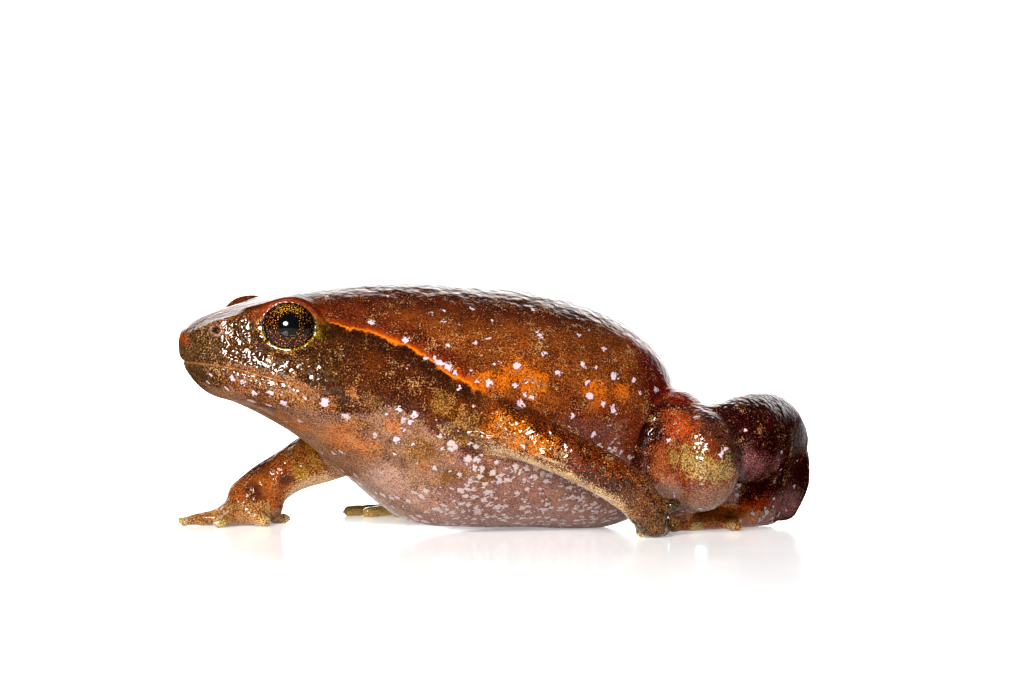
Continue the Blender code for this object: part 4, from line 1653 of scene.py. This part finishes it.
    def limb_patches(self, surface: Surface) -> dict[str, Array]:
        """Finds where each patch of colour of the arms and the legs lies.

        Args:
            surface: What is measured at the skin's points.

        Returns:
            How far each point lies in each patch.
        """
        x, z, right, limbs = surface.x, surface.z, surface.right, surface.limbs
        arm, leg, hand, foot = (limbs[name] for name in ("arm", "leg", "hand", "foot"))
        made = {}
        for name, (limb, places) in LIMB_PLACES.items():
            made[name] = limbs[limb] * cover_of(surface.points, places)
        low = ramp(z, 2.0, 1.0)
        knee = ramp(x + 0.6 * z, 35.6, 34.4) * ramp(z, 8.2, 7.2) * (1.0 - right)
        knee *= 1.0 - 0.7 * ramp(x, 29.5, 28.6) * ramp(z, 5.2, 6.2)
        knee *= 1.0 - 0.6 * ramp(x, 28.9, 28.2)
        return made | {
            "arm": arm,
            "far_arm": arm * right,
            # Where the arm's skin faces down: partly its own yellow underside, partly painted rim light
            # from the white floor.
            "under": arm * 0.8 * ramp(surface.normals[:, 2], -0.30, -0.85),
            "wrist": limbs["wrist"],
            "hand": hand * np.where(right > 0, low, 1.0),
            "far_hand": hand * right * low,
            "ball": cover_of(surface.points, FINGER_BALL) * ramp(x, 28.1, 28.4),
            "pad": limbs["pad"],
            "leg": leg,
            "knee": leg * knee,
            "leg_pink": leg * ramp(z, 3.7, 2.5) * ramp(x, 34.0, 32.4),
            "foot": foot,
            "foot_red": np.maximum(foot, leg) * cover_of(surface.points, FOOT_RED),
            "far_toes": foot * right * ramp(x, 19.8, 18.0),
        }

    def line(self, surface: Surface) -> dict[str, Array]:
        """Finds the line along each side.

        Args:
            surface: What is measured at the skin's points.

        Returns:
            How far each point lies over the line, and how much the line shows there.
        """
        away, _ = line_distance(to_left(surface.points), smooth_rows(SIDE_LINE, 120))
        return {
            "stripe_mm": np.clip(away * np.sign(surface.over_line), -3.0, 3.0),
            "stripe": surface.body * ramp(surface.x, 7.2, 8.0) * ramp(surface.x, 18.2, 16.2),
        }

    def face_marks(self, surface: Surface) -> dict[str, Array]:
        """Finds the seam of the lips, the nostrils and the colours of the lids.

        Args:
            surface: What is measured at the skin's points.

        Returns:
            How far each point lies in each of them.
        """
        pit = np.min([nostril.away(surface.points) for nostril in self.nostrils], axis=0)
        made = {
            "mouth": hill(surface.over_mouth, 0.065) * surface.by_mouth * 0.55 * (surface.x < 7.6),
            # Painted shade in the nostril's pit.
            "nostril": hill(pit, 0.17),
            "nostril_rim": hill(pit - 0.29, 0.07) * 0.7,
        }
        for eye in self.eyes:
            out, _, high, place = eye.measured(surface.points)
            front = out > -0.8
            shown = 1.0 if eye.side is Side.LEFT else 0.45
            lids = {
                "lid_dark": ramp(place, 1.10, 1.03),
                "lid_yellow": ramp(high, 0.1, -0.6) * hill(place - 1.085, 0.03),
                "lid_red": shown * ramp(high, 0.1, 0.8) * ramp(place, 1.95, 1.15) * ramp(place, 1.06, 1.12),
            }
            for name, values in lids.items():
                made[name] = np.maximum(made.get(name, 0.0), front * values)
        return made

    def spots(self, surface: Surface) -> dict[str, Array]:
        """Finds where the pale spots lie.

        Args:
            surface: What is measured at the skin's points.

        Returns:
            The small spots' chance, and how far each point lies inside a large one.
        """
        x, body = surface.x, surface.body
        flank = ramp(surface.over_belly, 5.5, 0.0)
        chance = (0.34 + 0.16 * flank) * body + 0.24 * (1.0 - body)
        chance *= ramp(x, 1.5, 3.0) * (1.0 - 0.9 * surface.side * ramp(x, 13.0, 9.0))
        near = to_left(surface.points)
        inside = np.full(len(x), -1.0)
        for *centre, radius in PALE_SPOTS:
            nearest = near[np.argmin(np.linalg.norm(near - centre, axis=1))]
            inside = np.maximum(inside, radius - np.linalg.norm(near - nearest, axis=1))
        low = ramp(surface.over_belly, 1.4, -0.9) * body
        return {
            "spots": np.clip(chance * (1.0 - surface.limbs["foot"]), 0.0, 0.95),
            "belly_spots": low * (0.06 + 0.89 * ramp(x, 13.0, 17.5)),
            "pale_spot_mm": inside,
        }

    def relief(self, surface: Surface) -> dict[str, Array]:
        """Finds how high the granules, the creases and the warts stand.

        Args:
            surface: What is measured at the skin's points.

        Returns:
            The height of each kind at each point.
        """
        x, leg = surface.x, surface.limbs["leg"]
        front_limb = np.maximum(surface.limbs["arm"], surface.limbs["hand"])
        rough_face = surface.face * (1.0 - 0.8 * surface.upward)
        back = surface.upward * ramp(x, 9.0, 12.0)
        grain = 0.20 + 0.85 * rough_face - 0.1 * surface.under_side
        creased = 0.45 + 0.55 * rough_face + 0.5 * back - 0.25 * surface.under_side
        warts = (0.35 + 0.9 * back + 1.3 * leg * ramp(x, 32.0, 34.0)) * ramp(surface.z, 0.0, 0.5)
        for eye in self.eyes:
            warts *= ramp(eye.measured(surface.points)[3], 1.2, 1.6)
        return {
            "grain": grain + (1.1 - grain) * front_limb + 0.9 * leg,
            "creased": creased + (1.9 - creased) * front_limb + 0.25 * leg,
            "warts": warts * ramp(np.abs(surface.over_mouth), 0.1, 0.6) ** surface.by_mouth,
        }

    def film(self, surface: Surface) -> dict[str, Array]:
        """Finds how thick the wet film is: thinner where the skin is duller, and full on the arm's folds.

        Args:
            surface: What is measured at the skin's points.

        Returns:
            The film's thickness at each point, from 0 to 1.
        """
        x, body, under_side = surface.x, surface.body, surface.under_side
        rearward, upright = surface.normals[:, 0], surface.normals[:, 2]
        leg = surface.limbs["leg"]
        rear = leg * ramp(x, 32.5, 34.5)
        film = 1.0 - 0.6 * under_side * body
        film -= rear * (1.0 - 0.6 * ramp(upright, 0.25, 0.75) - 0.3 * ramp(rearward, 0.7, 0.95))
        film -= 0.6 * leg * (1.0 - rear) * ramp(rearward, 0.2, 0.6)
        film -= 0.5 * surface.limbs["arm"] * surface.right
        film -= ramp(x, 2.4, 1.3) * ramp(upright, 0.7, 0.4)
        film -= body * ramp(x, 12.0, 9.0) * ramp(upright, 0.0, -0.35)
        film -= 0.35 * surface.face * surface.upward
        film -= 0.5 * surface.side * body * ramp(x, 8.5, 10.5)
        film -= 1.3 * cover_of(surface.points, DRY_SHOULDER)
        film += 0.5 * under_side * body * ramp(x, 10.5, 12.0) * ramp(x, 19.0, 16.0)
        for eye in self.eyes:
            out, along, high, place = eye.measured(surface.points)
            ring = ramp(place, 1.15, 1.3) * ramp(place, 2.2, 1.9) * (out > -1.2)
            far = 0.8 if eye.side is Side.RIGHT else 0.0
            film -= ring * (0.7 * ramp(along, 0.0, 0.8) + 0.9 * ramp(high, 0.5, 1.2) + far)
        folds = np.min(
            [line_distance(surface.points, smooth_rows(fold.line, 30))[0] for fold in ARM_FOLDS], axis=0
        )
        return {"film": np.clip(np.maximum(film, hill(folds, 0.3)), 0.0, 1.0)}

    def limb_covers(self, points: Array) -> dict[str, Array]:
        """How much of each point belongs to an arm, a hand, a leg, a foot and a pad.

        Args:
            points: The skin's points, in millimetres.

        Returns:
            The covers by name.
        """
        made = {name: np.zeros(len(points)) for name in ("arm", "wrist", "hand", "leg", "foot")}

        def lay(name: str, stations: Rows, start: float = 0.0, fade: float = 0.16) -> None:
            """Adds what lies on one tube, from its start on.

            Args:
                name: The cover.
                stations: The rows of the tube.
                start: The place along the tube, from 0 to 1, where the cover starts.
                fade: How far along the tube it takes to be full.
            """
            away, place = line_distance(points, smooth_rows(stations, 40))
            cover = ramp(away, 0.55, 0.15) * ramp(place, start - 0.001, start + fade)
            made[name] = np.maximum(made[name], cover)

        for arm in self.arms:
            lay("arm", arm.arm, 0.14)
            if arm.side is Side.LEFT:
                lay("wrist", arm.arm, 0.78)
            lay("hand", arm.palm)
            for finger in arm.fingers:
                lay("hand", finger.stations())
        for leg in self.legs:
            lay("leg", leg.thigh, 0.30)
            for stations in (leg.shank, leg.tarsus, leg.fold):
                lay("leg", stations)
            lay("foot", leg.sole, 0.05, 0.5)
            for toe in leg.toes:
                lay("foot", toe.stations())
        digits = [digit for arm in self.arms for digit in arm.fingers]
        digits += [digit for leg in self.legs for digit in leg.toes]
        made["pad"] = cover_of(points, tuple((*digit.points[-1], PAD_RADIUS) for digit in digits))
        return made


@dataclass(frozen=True)
class Studio:
    """A white table under soft light, and the camera."""

    floor_half: float = 3.0
    look_at: tuple[float, float, float] = (1.13, -2.28, 11.7)
    azimuth: float = -20.0
    elevation: float = 1.8
    distance: float = 277.0
    lens: float = 156.0
    room: float = 0.07  # brightness of the room all round
    screen: float = 2.6  # brightness of the white screen behind
    box_place: tuple[float, float, float] = (-175.0, -240.0, 125.0)
    box_aim: tuple[float, float, float] = (0.0, 0.0, 6.0)
    box_size: tuple[float, float] = (130.0, 115.0)
    box_watts: float = 2.15

    def build(self, floor_finish: Material) -> None:
        """Makes the floor, the lights and the camera."""
        self.make_floor(floor_finish)
        self.make_camera()
        self.make_lights()
        self.make_surroundings()
        bpy.context.scene.view_settings.view_transform = "Standard"
        bpy.context.scene.view_settings.look = "Medium High Contrast"

    def make_floor(self, finish: Material) -> None:
        """A plain pale floor at the height of the frog's flats.

        Args:
            finish: Its material.
        """
        half = self.floor_half
        mesh = bpy.data.meshes.new("floor")
        corners = [(-half, -half, 0), (half, -half, 0), (half, half, 0), (-half, half, 0)]
        mesh.from_pydata(corners, [], [(0, 1, 2, 3)])
        mesh.materials.append(finish)
        linked("floor", mesh)

    def towards_camera(self) -> Vector:
        """The way from the frog to the camera."""
        turn, lift = math.radians(self.azimuth), math.radians(self.elevation)
        return Vector((math.sin(turn) * math.cos(lift), -math.cos(turn) * math.cos(lift), math.sin(lift)))

    def make_camera(self) -> None:
        """The camera at the photograph's angle, without depth of field."""
        data = bpy.data.cameras.new("camera")
        data.lens = self.lens
        data.sensor_width = 36.0
        data.clip_start, data.clip_end = 0.01, 20.0
        camera = bpy.data.objects.new("camera", data)
        back = self.towards_camera()
        camera.location = (Vector(self.look_at) + back * self.distance) * MM
        camera.rotation_mode = "QUATERNION"
        camera.rotation_quaternion = (-back).to_track_quat("-Z", "Y")
        bpy.context.scene.collection.objects.link(camera)
        bpy.context.scene.camera = camera

    def make_lights(self) -> None:
        """A soft box to the left of the camera and above it."""
        data = bpy.data.lights.new("front_box", "AREA")
        data.shape = "ELLIPSE"
        data.size, data.size_y = (side * MM for side in self.box_size)
        data.energy = self.box_watts
        light = bpy.data.objects.new("front_box", data)
        light.location = Vector(self.box_place) * MM
        light.rotation_mode = "QUATERNION"
        aim = Vector(self.box_aim) - Vector(self.box_place)
        light.rotation_quaternion = aim.to_track_quat("-Z", "Y")
        bpy.context.scene.collection.objects.link(light)

    def make_surroundings(self) -> None:
        """A white room that is dimmer on the camera's side, and pure white where the camera sees it."""
        world = bpy.data.worlds.new("white_room")
        world.use_nodes = True
        tree = world.node_tree
        tree.nodes.clear()
        add = partial(add_node, tree)
        way = add("ShaderNodeTexCoord").outputs["Generated"]
        back = self.towards_camera()
        front = add(VECTOR_MATH, {0: way, 1: tuple(back)}, operation="DOT_PRODUCT").outputs["Value"]
        screen = add(
            MAP_RANGE, {0: front, 1: -0.52, 2: -0.86}, interpolation_type="SMOOTHSTEP"
        ).outputs[0]
        glow = add(MAP_RANGE, {0: screen, 3: self.room, 4: self.screen}).outputs[0]
        seen = add("ShaderNodeLightPath").outputs["Is Camera Ray"]
        strength = add(MIX, {0: seen, 2: glow, 3: 1.05}, data_type="FLOAT").outputs[0]
        white = (1.0, 1.0, 1.0, 1.0)
        light = add("ShaderNodeBackground", {"Color": white, "Strength": strength}).outputs[0]
        add("ShaderNodeOutputWorld", {"Surface": light})
        bpy.context.scene.world = world


LIMB_NODES = ("upper_arm", "forearm", "hand", "thigh", "shank", "tarsus", "foot")
SKIN_NODES = (
    "head",
    "lower_jaw",
    "torso",
    *(f"{side.name.lower()}_{name}" for side in Side for name in LIMB_NODES),
)


def main() -> None:
    """Builds the frog's skin, its eyes and the studio."""
    logging.basicConfig(level=logging.INFO, format="%(name)s: %(message)s")
    eyes = (Eye(Side.LEFT), Eye(Side.RIGHT))
    skin = FrogSkin(
        trunk=Trunk(),
        arms=(LEFT_ARM, RIGHT_ARM),
        legs=(LEFT_LEG, RIGHT_LEG),
        eyes=eyes,
        mouth=Mouth(),
        nostrils=(Nostril(Side.LEFT), Nostril(Side.RIGHT)),
        grain=Grain(),
    ).build(WetSkin().build())
    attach(skin, "root")
    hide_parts(*SKIN_NODES)
    log.info("skin: %d points, %d triangles", len(skin.data.vertices), len(skin.data.polygons))
    finish = LivingEye().build()
    for eye in eyes:
        piece = eye.build(finish)
        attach(piece, "root")
        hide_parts(f"{eye.side.name.lower()}_eye")
        log.info("%s: %d points", piece.name, len(piece.data.vertices))
    Studio().build(WhiteAcrylic().build())


if __name__ == "__main__":
    main()
